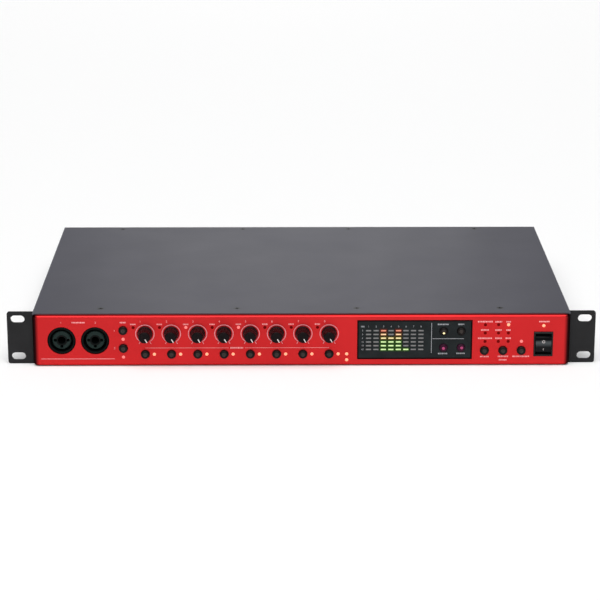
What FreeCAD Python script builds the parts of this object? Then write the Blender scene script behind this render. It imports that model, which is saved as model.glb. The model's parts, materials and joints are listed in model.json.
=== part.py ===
import FreeCAD, Part
import math
import os

# A one-unit, 19 inch rack audio interface, in millimetres.
# Frame: +X to the right as seen from the front, +Y to the back, +Z up.
# The origin is under the middle of the whole object, on the surface it stands on.
# Depths (names that end in _D, and every d in a helper) run back from the front face of the ears.

Vector = FreeCAD.Vector

# ---- driving dimensions -------------------------------------------------------------------
OVERALL_WIDTH = 482.6
HEIGHT = 44.0
CHASSIS_WIDTH = 440.0
CHASSIS_DEPTH = 270.0
SHEET = 1.2
LID_OVERHANG = 4.0
FIT = 0.1
NEAR = 0.01
OVERRUN = 1.0

EAR_PLATE = 2.5
EAR_CORNER_R = 2.0
SLOT_SPACING_X = 465.1
SLOT_SPACING_Z = 31.75
SLOT_LENGTH = 11.5
SLOT_WIDTH = 6.5
RAIL_DEPTH = 12.0
RAIL_SETBACK = 4.0
RACK_HOLES = (3.6, 0.2, 0.3)

FASCIA_HEIGHT = 42.4
FASCIA_THICKNESS = 8.3
FASCIA_WALL = 3.0
FASCIA_EDGE_R = 1.6
FASCIA_END_R = 5.0
FASCIA_HOLES = (3.6, 0.03, 0.15)

KNOB_COUNT = 8
KNOB_FIRST_X = -127.9
KNOB_PITCH = 21.5
KNOB_Z = 27.8
KNOB_REACH = 11.4
KNOB_SKIRT_R = 6.3
KNOB_BASE_R = 5.9
KNOB_CAP_R = 4.6
KNOB_FOOT_GAP = 0.4
KNOB_BORE = 9.0
KNOB_SKIRT = (0.9, 1.4)
KNOB_CROWN = (0.4, 0.5)
POINTER = (1.6, 0.9, 0.4)
POINTER_ANGLE = -60.0
SHAFT_R = 3.0
SHAFT_FIT = 0.05
SHAFT_CHAMFER = 0.4
SHAFT_TIP_GAP = 0.2
SHAFT_END_GAP = 0.4
SHAFT_BACK_D = 8.6

BUTTON_R = 3.5
BUTTON_GAP = 0.3
BUTTON_PROUD = 2.2
BUTTON_CROWN = 0.35
BUTTON_DOME = (0.62, 0.08, 0.25)
BUTTON_COLLAR = 1.1
COLLAR_D = (3.1, 4.1)
STEM = (2.5, 5.9)
PLUNGER_R = 1.75
PLUNGER_BACK_D = 9.0
CHANNEL_BUTTON_Z = 10.3
INSTRUMENT_X = -145.8
INSTRUMENT_Z = [30.7, 15.4]
OUTPUT_BUTTON_X = [149.8, 165.0, 180.0]
OUTPUT_BUTTON_Z = 13.0

COMBO_X = [-196.1, -168.7]
COMBO_Z = 22.0
COMBO_R = 11.5
COMBO_RECESS_R = 9.6
COMBO_RECESS_DEPTH = 13.0
COMBO_INSERT_R = 7.6
COMBO_INSERT_BACK = 0.8
COMBO_CHAMFER = 0.6
COMBO_BARREL = 11.2
COMBO_BODY = (25.0, 26.4, 33.0)
COMBO_PIN_R = 1.35
COMBO_PIN_CIRCLE_R = 5.3
COMBO_PIN_DEPTH = 12.0
COMBO_PIN_ANGLES = [0, 180, 270]
COMBO_SUNK = 0.3
JACK_R = 3.2
JACK_LENGTH = 30.0

POT_BODY = (12.0, 12.0)
POT_FRONT_D = 4.5
POT_BUSHING_R = 3.5
POT_COLLAR_R = 4.6
POT_NUT = (10.0, 2.2)
POT_THREAD_PROUD = 1.0
PUSH_SWITCH = (6.2, 7.0)
PUSH_SWITCH_BORE_D = 10.3

WINDOW_X = (45.6, 139.6)
WINDOW_Z = (5.7, 39.1)
WINDOW_RECESS = 0.2
WINDOW_RIM = (1.8, 1.0, 1.0)
WINDOW_BUTTON_R = 3.2
WINDOW_BUTTON_X = [116.2, 130.6]
WINDOW_BUTTON_Z = [29.6, 15.4]
METER_COLUMNS = 8
METER_ROWS = 6
METER_FIRST_X = 54.8
METER_PITCH_X = 6.12
METER_TOP_Z = 30.1
METER_PITCH_Z = 3.22
METER_BAR = (4.2, 1.3)
METER_BOARD = (8.0, 36.0, -2.2, -0.6)
METER_MARGINS = (5.0, 4.0)

LIGHT_R = 1.1
LIGHT_PROUD = 0.2
LIGHT_DOME = (0.825, 0.06, 0.3)
LIGHT_BACK_GAP = 0.4
LIGHT_OFFSET_X = 7.4
CLIP_LIGHT_OFFSET = (-9.5, 5.4)
INSTRUMENT_LIGHT_DROP = 7.5
LINK_LIGHT_X = 37.0
LINK_LIGHT_Z = [10.3, 5.2]
STATUS_LIGHT_X = [150.2, 161.0, 169.1]
STATUS_LIGHT_Z = [35.1, 28.0, 20.8]
POWER_LIGHT_Z = 34.2

SWITCH_X = 197.9
SWITCH_Z = 18.6
BEZEL = (15.8, 20.9)
BEZEL_PROUD = 1.2
BEZEL_LIP = 0.7
BEZEL_EDGE_R = 0.6
SWITCH_CAVITY = (13.3, 17.7, 4.0)
SWITCH_BACK_D = 12.0
TERMINAL = (4.8, 0.8, 7.0)
TERMINAL_SPREAD = 10.0
ROCKER_WIDTH = 12.7
ROCKER_RIDGE = 6.5
ROCKER_EDGE = (4.6, 6.6)
ROCKER_BACK = 2.0
ROCKER_CREST = (1.0, 0.15)
ROCKER_TILT = 9.0
ROCKER_PIN_R = 0.9
ROCKER_PIN_REACH = 0.75
ROCKER_PIN_FIT = 0.05
PIVOT_BEHIND_FASCIA_FACE = 3.4

SOCKET_REACH = 10.5
SCREW_X = [-165.0, -53.0, 45.5, 163.5]
SCREW_FRONT_D = 9.6
SCREW_REAR_D = 263.0
SCREW_HEAD_R = 3.0
SCREW_R = 1.5
SCREW_LENGTH = 6.0
CROSS_RECESS = (3.4, 0.8, 0.8)

TRAY_FOLD = 9.0
TRAY_FOLD_D = (18.0, 252.0)
VENT_GROUPS_D = [60.0, 150.0]
VENTS_PER_GROUP = 9
VENT_PITCH = 7.0
VENT = (2.4, 13.0, 31.0)
REAR_PLATE = 1.5
REAR_FOLD = 12.0
REAR_FOLD_GAP = 1.0

CONTROL_BOARD_D = 11.0
BOARD = 1.6
BOARD_Z = 6.0
CONTROL_BOARD = (-153.0, 188.0, 6.5, 37.5)
MAIN_BOARD = (-205.0, 152.0, 62.0, 258.0)
POWER_BOARD = (160.0, 214.0, 62.0, 238.0)
HEADER = (34.0, 6.0, 8.0)
HEADER_X = 20.0
HEADER_Z = 31.0
HEADER_D = 69.0
CONTROL_CHIP = (8.0, 6.0, 1.6)
CONTROL_CHIP_PLACE = (10.0, 20.0)
INPUT_PITCH = 26.0
INPUT_FIRST_X = -184.0
RELAY = (10.0, 14.0, 9.0)
RELAY_D = 103.0
CODEC = (8.0, 8.0, 1.6)
CODEC_D = 128.0
CAPACITORS = [(103.0, 3.2, 11.0), (150.0, 4.0, 12.0)]
CAPACITOR_OFFSET_X = 9.0
PROCESSOR = (24.0, 24.0, 2.4)
PROCESSOR_PLACE = (72.0, 132.0)
CLOCK_CHIP = (12.0, 12.0, 1.6)
CLOCK_CHIP_PLACE = (106.0, 136.0)
TRANSFORMER = (32.0, 30.0, 27.0)
TRANSFORMER_PLACE = (182.0, 133.0)
WINDING = (24.0, 4.0, 19.0)
WINDING_LIFT = 4.0
RESERVOIR = (8.5, 28.0)
RESERVOIR_X = [175.0, 195.0]
RESERVOIR_D = 182.0
CHOKE = (9.5, 12.0, 4.5)
CHOKE_PLACE = (187.0, 208.0)
HEAT_SINK = (206.0, 209.0, 80.0, 200.0, 30.0)
FINS = 3
FIN = (7.0, 2.0, 6.0, 28.0)
FIN_FIRST = 4.0
FIN_PITCH = 12.0
SPACER_R = 3.2
SPACER_FLOOR = 1.0
SPACER_INSET = 6.0
SPACER_INSET_POWER_X = 5.0
SPACER_MIDDLE_X = -26.5
SPACER_BACK_D = 228.0
PAN_HEAD = (2.8, 2.0)
PAN_SLOT = (3.2, 0.8, 1.0)
PAN_SCREW_GAP = 0.5
RIBBON_OUTER = [(45.0, 31.5), (68.5, 24.0)]
RIBBON_INNER = [(67.5, 23.2), (44.7, 30.5)]
RIBBON_INSET = 3.0

REAR_COMBO_COUNT = 6
REAR_COMBO_FIRST_X = -200.0
REAR_COMBO_PITCH = 26.5
REAR_COMBO_PROUD = 1.0
REAR_MID_Z = 22.0
REAR_ROWS_Z = [15.0, 30.4]
LINE_JACK_COLUMNS = 5
LINE_JACK_FIRST_X = -44.0
LINE_JACK_PITCH = 15.5
LINE_NOSE_R = 4.6
LINE_NOSE_REACH = 3.0
LINE_NOSE_FIT = 0.05
LINE_BODY = (14.0, 14.6, 33.0)
LINE_NUT = (12.0, 2.0)
OPTICAL_X = [36.0, 51.0]
OPTICAL_BODY = 13.0
OPTICAL_SNOUT = 10.0
OPTICAL_OPENING = (7.4, 8.5)
OPTICAL_PROUD = 1.0
PHONO_X = 67.0
PHONO_R = 4.2
PHONO_REACH = 8.5
PHONO_BODY = (11.0, 12.0, 13.0)
PHONO_BORE = (1.65, 2.0)
CLOCK_X = 82.5
CLOCK_R = 4.8
CLOCK_BORE = (4.05, 9.0)
CLOCK_BODY = (14.0, 13.6, 14.0)
CLOCK_LUG = (0.95, 11.6, 3.6)
CLOCK_CENTRE = (2.4, 1.5)
CLOCK_CENTRE_BORE = (0.8, 8.0)
CLOCK_NUT = (13.0, 2.0)
MIDI_X = [102.0, 122.5]
MIDI_R = 7.8
MIDI_PROUD = 0.8
MIDI_BODY = (18.0, 19.0, 13.0)
MIDI_GROOVE = (7.0, 5.9, 8.0)
MIDI_PINS = 5
MIDI_PIN_STEP = 45
MIDI_PIN_R = 0.85
MIDI_PIN_CIRCLE_R = 4.2
COMPUTER_PORT_X = 142.0
PORT_SHELL = (12.0, 11.0, 15.0)
PORT_PROUD = 0.6
PORT_CAVITY = (8.6, 7.8, 10.0)
PORT_TONGUE = (5.6, 3.2, 0.8)
INLET_X = 185.0
INLET_SCREW = 20.0
INLET_FLANGE = (50.0, 22.4, 2.5)
INLET_CAVITY = (24.4, 16.8, 15.5)
INLET_BODY = (27.0, 20.0, 19.0)
INLET_CHAMFER = 4.5
INLET_SCREW_HEAD = 1.5
INLET_SCREW_LENGTH = 7.0
INLET_PIN = (2.0, 4.0)
INLET_PINS = [(-7.0, -1.0, 2.5), (7.0, -1.0, 2.5), (0.0, 3.0, 1.5)]
INLET_TAB = (0.8, 6.3, 7.0)
INLET_TABS = [-8.0, 0.0, 8.0]

# ---- dimensions worked out from the driving ones ------------------------------------------
FRONT_REACH = FASCIA_THICKNESS + KNOB_REACH
OVERALL_DEPTH = FRONT_REACH + CHASSIS_DEPTH + SOCKET_REACH
EAR_FACE_Y = FRONT_REACH - OVERALL_DEPTH / 2
HALF_CHASSIS = CHASSIS_WIDTH / 2
LID_Z = HEIGHT - SHEET
FASCIA_D = -FASCIA_THICKNESS
POCKET_D = FASCIA_D + FASCIA_WALL
FASCIA_Z0 = (HEIGHT - FASCIA_HEIGHT) / 2
REAR_INNER_D = CHASSIS_DEPTH - REAR_PLATE
KNOB_X = [KNOB_FIRST_X + KNOB_PITCH * i for i in range(KNOB_COUNT)]
REAR_COMBO_X = [REAR_COMBO_FIRST_X + REAR_COMBO_PITCH * i for i in range(REAR_COMBO_COUNT)]
LINE_JACK_X = [LINE_JACK_FIRST_X + LINE_JACK_PITCH * i for i in range(LINE_JACK_COLUMNS)]
SHAFT_BORE_R = SHAFT_R + SHAFT_FIT
WINDOW_BUTTON_HOLE_R = WINDOW_BUTTON_R + BUTTON_GAP
PIVOT_D = FASCIA_D + PIVOT_BEHIND_FASCIA_FACE
SCREW_PLACES = [(x, d) for x in SCREW_X for d in (SCREW_FRONT_D, SCREW_REAR_D)]
BOARD_TOP = BOARD_Z + BOARD
LINE_FACE_D = CHASSIS_DEPTH + LINE_NOSE_REACH
INLET_FACE_D = CHASSIS_DEPTH + INLET_FLANGE[2]


# ---- helpers ------------------------------------------------------------------------------
def box(x0, x1, d0, d1, z0, z1):
    """A box between two corners, with its depths counted from the ear face."""
    return Part.makeBox(x1 - x0, d1 - d0, z1 - z0, Vector(x0, EAR_FACE_Y + d0, z0))


def block(x, z, width, height, d0, d1):
    """A box centred on a line that runs front to back."""
    return box(x - width / 2, x + width / 2, d0, d1, z - height / 2, z + height / 2)


def rod(x, z, r, d0, d1):
    """A round bar or hole that runs front to back."""
    return Part.makeCylinder(r, d1 - d0, Vector(x, EAR_FACE_Y + d0, z), Vector(0, 1, 0))


def post(x, d, r, z0, z1):
    """A round bar or hole that stands upright."""
    return Part.makeCylinder(r, z1 - z0, Vector(x, EAR_FACE_Y + d, z0), Vector(0, 0, 1))


def hexagon(x, z, across_flats, d0, d1):
    """A six-sided nut blank that runs front to back."""
    r = across_flats / math.sqrt(3)
    corners = []
    for i in range(7):
        angle = math.radians(60 * i)
        corners.append(Vector(x + r * math.cos(angle), EAR_FACE_Y + d0, z + r * math.sin(angle)))
    return Part.Face(Part.makePolygon(corners)).extrude(Vector(0, d1 - d0, 0))


def turned(x, z, profile):
    """A solid of revolution about a front-to-back line, from (radius, depth) points."""
    points = [Vector(x + r, EAR_FACE_Y + d, z) for r, d in profile]
    face = Part.Face(Part.makePolygon(points + [points[0]]))
    return face.revolve(Vector(x, EAR_FACE_Y, z), Vector(0, 1, 0), 360)


def outline_solid(points, x0, x1):
    """A side outline of (depth, height) points, extruded across the width."""
    corners = [Vector(x0, EAR_FACE_Y + d, z) for d, z in points]
    return Part.Face(Part.makePolygon(corners + [corners[0]])).extrude(Vector(x1 - x0, 0, 0))


def edges_in_plane(shape, y):
    """The edges of a shape that lie wholly in one upright plane across the width."""
    return [e for e in shape.Edges if all(abs(v.Y - y) < NEAR for v in e.Vertexes)]


def faced_back(shape, x):
    """The same shape turned half round, about the upright line through x in the ear face."""
    turned_shape = shape.copy()
    turned_shape.rotate(Vector(x, EAR_FACE_Y, 0), Vector(0, 0, 1), 180)
    return turned_shape


def slot(x, z, length, width, d0, d1):
    """A round-ended slot that lies across the width."""
    half = (length - width) / 2
    ends = [rod(x + side * half, z, width / 2, d0, d1) for side in (-1, 1)]
    return block(x, z, 2 * half, width, d0, d1).fuse(ends)


def write(node, *solids):
    """Write one node: a single solid, or a group of separate ones."""
    shape = solids[0] if len(solids) == 1 else Part.makeCompound(list(solids))
    shape.exportStep("parts/" + node + ".step")


# ---- where the lights are -----------------------------------------------------------------
def light_places():
    """The centre of each indicator light on the fascia."""
    places = [(INSTRUMENT_X, z - INSTRUMENT_LIGHT_DROP) for z in INSTRUMENT_Z]
    places += [(x + LIGHT_OFFSET_X, CHANNEL_BUTTON_Z) for x in KNOB_X]
    places += [(x + CLIP_LIGHT_OFFSET[0], KNOB_Z + CLIP_LIGHT_OFFSET[1]) for x in KNOB_X]
    places += [(LINK_LIGHT_X, z) for z in LINK_LIGHT_Z]
    places += [(x, z) for x in STATUS_LIGHT_X for z in STATUS_LIGHT_Z]
    places += [(OUTPUT_BUTTON_X[2], STATUS_LIGHT_Z[2]), (SWITCH_X, POWER_LIGHT_Z)]
    return places


def button_places():
    """Node name, centre, cap radius and how far each button stands from the ear face."""
    face = FASCIA_D - BUTTON_PROUD
    window_face = FASCIA_D - BUTTON_PROUD / 2
    places = []
    for i, z in enumerate(INSTRUMENT_Z):
        places.append(("instrument_button_%d" % (i + 1), INSTRUMENT_X, z, BUTTON_R, face))
    for i, x in enumerate(KNOB_X):
        places.append(("channel_button_%d" % (i + 1), x, CHANNEL_BUTTON_Z, BUTTON_R, face))
    for i in range(4):
        x = WINDOW_BUTTON_X[i % 2]
        z = WINDOW_BUTTON_Z[i // 2]
        places.append(("monitor_button_%d" % (i + 1), x, z, WINDOW_BUTTON_R, window_face))
    for i, x in enumerate(OUTPUT_BUTTON_X):
        places.append(("output_button_%d" % (i + 1), x, OUTPUT_BUTTON_Z, BUTTON_R, face))
    return places


# ---- front panel parts --------------------------------------------------------------------
def switch_body(d0, d1, gap):
    """The block of the power switch that goes through the panels, with a gap round it."""
    width, height = [size - 2 * (BEZEL_LIP - gap) for size in BEZEL]
    return block(SWITCH_X, SWITCH_Z, width, height, d0, d1)


def control_holes(d0, d1, pot_r, light_gap, combo_gap):
    """Every opening that the controls need through one panel."""
    holes = [rod(x, COMBO_Z, COMBO_R + combo_gap, d0, d1) for x in COMBO_X]
    holes += [rod(x, KNOB_Z, pot_r, d0, d1) for x in KNOB_X]
    holes += [rod(x, z, r + BUTTON_GAP, d0, d1) for _, x, z, r, _ in button_places()]
    holes += [rod(x, z, LIGHT_R + light_gap, d0, d1) for x, z in light_places()]
    holes.append(switch_body(d0, d1, FIT))
    return holes


def rack_panel():
    """The front plate with both ears, and the two rails behind it that take the case screws."""
    plate = box(-HALF_CHASSIS, HALF_CHASSIS, 0, EAR_PLATE, SHEET, LID_Z)
    ears = []
    for side in (-1, 1):
        inner = side * HALF_CHASSIS
        outer = side * OVERALL_WIDTH / 2
        ear = box(min(inner, outer), max(inner, outer), 0, EAR_PLATE, 0, HEIGHT)
        corners = [e for e in ear.Edges if all(abs(v.X - outer) < NEAR for v in e.Vertexes)
                   and e.BoundBox.YLength > NEAR]
        ears.append(ear.makeFillet(EAR_CORNER_R, corners))
    cuts = control_holes(-OVERRUN, EAR_PLATE + OVERRUN, *RACK_HOLES)
    for x in (-SLOT_SPACING_X / 2, SLOT_SPACING_X / 2):
        for z in (HEIGHT / 2 - SLOT_SPACING_Z / 2, HEIGHT / 2 + SLOT_SPACING_Z / 2):
            cuts.append(slot(x, z, SLOT_LENGTH, SLOT_WIDTH, -OVERRUN, EAR_PLATE + OVERRUN))
    solids = [plate.fuse(ears).removeSplitter().cut(cuts)]
    screw_holes = [post(x, SCREW_FRONT_D, SCREW_R, 0, HEIGHT) for x in SCREW_X]
    rail_x = HALF_CHASSIS - RAIL_SETBACK
    for z0 in (SHEET, LID_Z - EAR_PLATE):
        rail = box(-rail_x, rail_x, EAR_PLATE, EAR_PLATE + RAIL_DEPTH, z0, z0 + EAR_PLATE)
        solids.append(rail.cut(screw_holes))
    return solids


def front_fascia():
    """The bullnosed front cover, hollow at the back and stepped along the top for the lid's edge."""
    z1 = FASCIA_Z0 + FASCIA_HEIGHT
    front_y = EAR_FACE_Y + FASCIA_D
    slab = box(-HALF_CHASSIS, HALF_CHASSIS, FASCIA_D, 0, FASCIA_Z0, z1)
    upright = [e for e in edges_in_plane(slab, front_y) if e.BoundBox.ZLength > OVERRUN]
    slab = slab.makeFillet(FASCIA_END_R, upright)
    level = [e for e in edges_in_plane(slab, front_y) if e.BoundBox.XLength > OVERRUN]
    slab = slab.makeFillet(FASCIA_EDGE_R, level)
    wall_x = HALF_CHASSIS - FASCIA_WALL
    pocket = box(-wall_x, wall_x, POCKET_D, OVERRUN, FASCIA_Z0 + FASCIA_WALL, z1 - FASCIA_WALL)
    step_x = HALF_CHASSIS + OVERRUN
    step = box(-step_x, step_x, -LID_OVERHANG - FIT, OVERRUN, LID_Z - FIT, HEIGHT)
    window = box(WINDOW_X[0] - FIT, WINDOW_X[1] + FIT, FASCIA_D - OVERRUN, POCKET_D + OVERRUN,
                 WINDOW_Z[0] - FIT, WINDOW_Z[1] + FIT)
    holes = control_holes(FASCIA_D - OVERRUN, POCKET_D + OVERRUN, *FASCIA_HOLES)
    return slab.cut([pocket, step, window] + holes)


def meter_window():
    """The glossy window over the meters, with a rim behind the fascia and four button holes."""
    x0, x1 = WINDOW_X
    z0, z1 = WINDOW_Z
    rim_side, rim_top, rim_thickness = WINDOW_RIM
    pane = box(x0, x1, FASCIA_D + WINDOW_RECESS, POCKET_D, z0, z1)
    rim = box(x0 - rim_side, x1 + rim_side, POCKET_D, POCKET_D + rim_thickness,
              FASCIA_Z0 + FASCIA_WALL + 2 * FIT, z1 + rim_top)
    holes = [rod(x, z, WINDOW_BUTTON_HOLE_R, FASCIA_D - OVERRUN, 0)
             for x in WINDOW_BUTTON_X for z in WINDOW_BUTTON_Z]
    return pane.fuse(rim).removeSplitter().cut(holes)


def meter_display():
    """The meter board in the fascia's hollow, and one light bar for each meter step."""
    z0, z1, front, back = METER_BOARD
    left = METER_FIRST_X - METER_MARGINS[0]
    right = METER_FIRST_X + METER_PITCH_X * (METER_COLUMNS - 1) + METER_MARGINS[1]
    bar_front = POCKET_D + WINDOW_RIM[2] + FIT
    solids = [box(left, right, front, back, z0, z1)]
    for column in range(METER_COLUMNS):
        for row in range(METER_ROWS):
            x = METER_FIRST_X + METER_PITCH_X * column
            z = METER_TOP_Z - METER_PITCH_Z * row
            solids.append(block(x, z, METER_BAR[0], METER_BAR[1], bar_front, front))
    return solids


def indicator_lights():
    """Light pipes from the control board to the fascia, each with a small domed end."""
    face = FASCIA_D - LIGHT_PROUD
    back = CONTROL_BOARD_D - LIGHT_BACK_GAP
    dome_r, dome_d, rim_d = LIGHT_DOME
    profile = [(0, face), (dome_r, face + dome_d), (LIGHT_R, face + rim_d), (LIGHT_R, back), (0, back)]
    return [turned(x, z, profile) for x, z in light_places()]


def combo_jack(x, z, face_d):
    """A combination jack: XLR recess and insert, with a quarter-inch bore in the middle."""
    width, height, depth = COMBO_BODY
    barrel_back = face_d + COMBO_BARREL
    recess_back = face_d + COMBO_RECESS_DEPTH
    insert_face = face_d + COMBO_INSERT_BACK
    barrel = turned(x, z, [(0, face_d), (COMBO_R - COMBO_CHAMFER, face_d),
                           (COMBO_R, face_d + COMBO_CHAMFER), (COMBO_R, barrel_back), (0, barrel_back)])
    body = barrel.fuse(block(x, z, width, height, barrel_back, face_d + depth))
    body = body.cut(rod(x, z, COMBO_RECESS_R, face_d - OVERRUN, recess_back))
    insert = turned(x, z, [(0, insert_face), (COMBO_INSERT_R - COMBO_CHAMFER, insert_face),
                           (COMBO_INSERT_R, insert_face + COMBO_CHAMFER), (COMBO_INSERT_R, recess_back),
                           (0, recess_back)])
    holes = [rod(x, z, JACK_R, face_d, insert_face + JACK_LENGTH)]
    for angle in COMBO_PIN_ANGLES:
        pin_x = x + COMBO_PIN_CIRCLE_R * math.cos(math.radians(angle))
        pin_z = z + COMBO_PIN_CIRCLE_R * math.sin(math.radians(angle))
        holes.append(rod(pin_x, pin_z, COMBO_PIN_R, face_d, face_d + COMBO_PIN_DEPTH))
    return body.fuse(insert).removeSplitter().cut(holes)


# ---- controls -----------------------------------------------------------------------------
def gain_knob(x):
    """A tapered knob with a skirt and an inset pointer at its fully clockwise stop."""
    foot = FASCIA_D - KNOB_FOOT_GAP
    tip = FASCIA_D - KNOB_REACH
    skirt_height, skirt_slope = KNOB_SKIRT
    crown_in, crown_depth = KNOB_CROWN
    body = turned(x, KNOB_Z, [(0, foot), (KNOB_SKIRT_R, foot), (KNOB_SKIRT_R, foot - skirt_height),
                              (KNOB_BASE_R, foot - skirt_slope), (KNOB_CAP_R, tip + crown_depth),
                              (KNOB_CAP_R - crown_in, tip), (0, tip)])
    bore = rod(x, KNOB_Z, SHAFT_R, foot - KNOB_BORE, foot + OVERRUN)
    start, width, depth = POINTER
    pointer = box(x + start, x + KNOB_CAP_R + OVERRUN, tip - OVERRUN, tip + depth,
                  KNOB_Z - width / 2, KNOB_Z + width / 2)
    pointer.rotate(Vector(x, 0, KNOB_Z), Vector(0, -1, 0), POINTER_ANGLE)
    return body.cut([bore, pointer])


def gain_shaft(x):
    """The control's shaft, pressed in the knob and running in the bushing."""
    tip = FASCIA_D - KNOB_BORE - SHAFT_TIP_GAP
    return turned(x, KNOB_Z, [(0, tip), (SHAFT_R - SHAFT_CHAMFER, tip), (SHAFT_R, tip + SHAFT_CHAMFER),
                              (SHAFT_R, SHAFT_BACK_D), (0, SHAFT_BACK_D)])


def gain_potentiometers():
    """Potentiometer bodies behind the rack panel, and their nuts in the fascia's hollow."""
    nut_width, nut_height = POT_NUT
    thread_d = -nut_height - POT_THREAD_PROUD
    solids = []
    for x in KNOB_X:
        body = block(x, KNOB_Z, POT_BODY[0], POT_BODY[1], POT_FRONT_D, CONTROL_BOARD_D)
        bushing = rod(x, KNOB_Z, POT_BUSHING_R, thread_d, POT_FRONT_D)
        collar = rod(x, KNOB_Z, POT_COLLAR_R, EAR_PLATE, POT_FRONT_D)
        bore = rod(x, KNOB_Z, SHAFT_BORE_R, thread_d - OVERRUN, SHAFT_BACK_D + SHAFT_END_GAP)
        solids.append(body.fuse([bushing, collar]).removeSplitter().cut(bore))
        nut = hexagon(x, KNOB_Z, nut_width, -nut_height, 0)
        solids.append(nut.cut(rod(x, KNOB_Z, POT_BUSHING_R, -nut_height - OVERRUN, OVERRUN)))
    return solids


def push_button(x, z, r, face_d):
    """A button cap with its retaining collar and the plunger that goes in the switch."""
    dome_share, dome_d, shoulder_d = BUTTON_DOME
    stem_r, stem_d = STEM
    shoulder = face_d + shoulder_d
    collar_r = r + BUTTON_COLLAR
    cap = [(0, face_d), (r * dome_share, face_d + dome_d), (r - BUTTON_CROWN, shoulder),
           (r, shoulder + BUTTON_CROWN)]
    collar = [(r, COLLAR_D[0]), (collar_r, COLLAR_D[0]), (collar_r, COLLAR_D[1])]
    stem = [(stem_r, COLLAR_D[1]), (stem_r, stem_d), (PLUNGER_R, stem_d),
            (PLUNGER_R, PLUNGER_BACK_D), (0, PLUNGER_BACK_D)]
    return turned(x, z, cap + collar + stem)


def push_switches():
    """One switch body on the control board behind each button."""
    size, front = PUSH_SWITCH
    bore_r = PLUNGER_R + BUTTON_GAP
    return [block(x, z, size, size, front, CONTROL_BOARD_D)
            .cut(rod(x, z, bore_r, front - OVERRUN, PUSH_SWITCH_BORE_D))
            for _, x, z, _, _ in button_places()]


def power_switch_housing():
    """The switch's bezel and body, open at the front for the rocker, with two terminals."""
    front = FASCIA_D - BEZEL_PROUD
    bezel = block(SWITCH_X, SWITCH_Z, BEZEL[0], BEZEL[1], front, FASCIA_D)
    bezel = bezel.makeFillet(BEZEL_EDGE_R, edges_in_plane(bezel, EAR_FACE_Y + front))
    body = bezel.fuse(switch_body(FASCIA_D, SWITCH_BACK_D, 0)).removeSplitter()
    width, height, back = SWITCH_CAVITY
    cavity = block(SWITCH_X, SWITCH_Z, width, height, front - OVERRUN, back)
    pivot_start = Vector(SWITCH_X - BEZEL[0] / 2, EAR_FACE_Y + PIVOT_D, SWITCH_Z)
    pivot = Part.makeCylinder(ROCKER_PIN_R + ROCKER_PIN_FIT, BEZEL[0], pivot_start, Vector(1, 0, 0))
    solids = [body.cut([cavity, pivot])]
    width, thickness, length = TERMINAL
    for z in (SWITCH_Z - TERMINAL_SPREAD / 2, SWITCH_Z + TERMINAL_SPREAD / 2):
        solids.append(block(SWITCH_X, z, width, thickness, SWITCH_BACK_D, SWITCH_BACK_D + length))
    return solids


def power_rocker():
    """The rocker, tilted to its lower stop, with its pivot pins."""
    edge_out, edge_z = ROCKER_EDGE
    end_r = math.hypot(edge_out, edge_z)
    back_z = math.sqrt(end_r ** 2 - ROCKER_BACK ** 2)
    y0 = EAR_FACE_Y + PIVOT_D
    x0 = SWITCH_X - ROCKER_WIDTH / 2

    def point(out, up):
        return Vector(x0, y0 - out, SWITCH_Z + up)

    crest, crest_sink = ROCKER_CREST
    crest_out = ROCKER_RIDGE - (ROCKER_RIDGE - edge_out) * crest / edge_z
    edges = [
        Part.makeLine(point(edge_out, -edge_z), point(crest_out, -crest)),
        Part.Arc(point(crest_out, -crest), point(ROCKER_RIDGE - crest_sink, 0),
                 point(crest_out, crest)).toShape(),
        Part.makeLine(point(crest_out, crest), point(edge_out, edge_z)),
        Part.Arc(point(edge_out, edge_z), point(0, end_r), point(-ROCKER_BACK, back_z)).toShape(),
        Part.makeLine(point(-ROCKER_BACK, back_z), point(-ROCKER_BACK, -back_z)),
        Part.Arc(point(-ROCKER_BACK, -back_z), point(0, -end_r), point(edge_out, -edge_z)).toShape(),
    ]
    rocker = Part.Face(Part.Wire(edges)).extrude(Vector(ROCKER_WIDTH, 0, 0))
    pins = Part.makeCylinder(ROCKER_PIN_R, ROCKER_WIDTH + 2 * ROCKER_PIN_REACH,
                             Vector(x0 - ROCKER_PIN_REACH, y0, SWITCH_Z), Vector(1, 0, 0))
    rocker = rocker.fuse(pins).removeSplitter()
    rocker.rotate(Vector(0, y0, SWITCH_Z), Vector(1, 0, 0), ROCKER_TILT)
    return rocker


# ---- case ---------------------------------------------------------------------------------
def screw_cone(x, d, outer_z, inward):
    """The countersunk head's cone, from the outer face of a sheet inwards."""
    return Part.makeCone(SCREW_HEAD_R, SCREW_HEAD_R - SHEET, SHEET, Vector(x, EAR_FACE_Y + d, outer_z),
                         Vector(0, 0, inward))


def top_cover():
    """The flat lid, which reaches over the fascia's step, with countersunk holes front and back."""
    lid = box(-HALF_CHASSIS, HALF_CHASSIS, -LID_OVERHANG, CHASSIS_DEPTH, LID_Z, HEIGHT)
    return lid.cut([screw_cone(x, d, HEIGHT, -1) for x, d in SCREW_PLACES])


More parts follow.
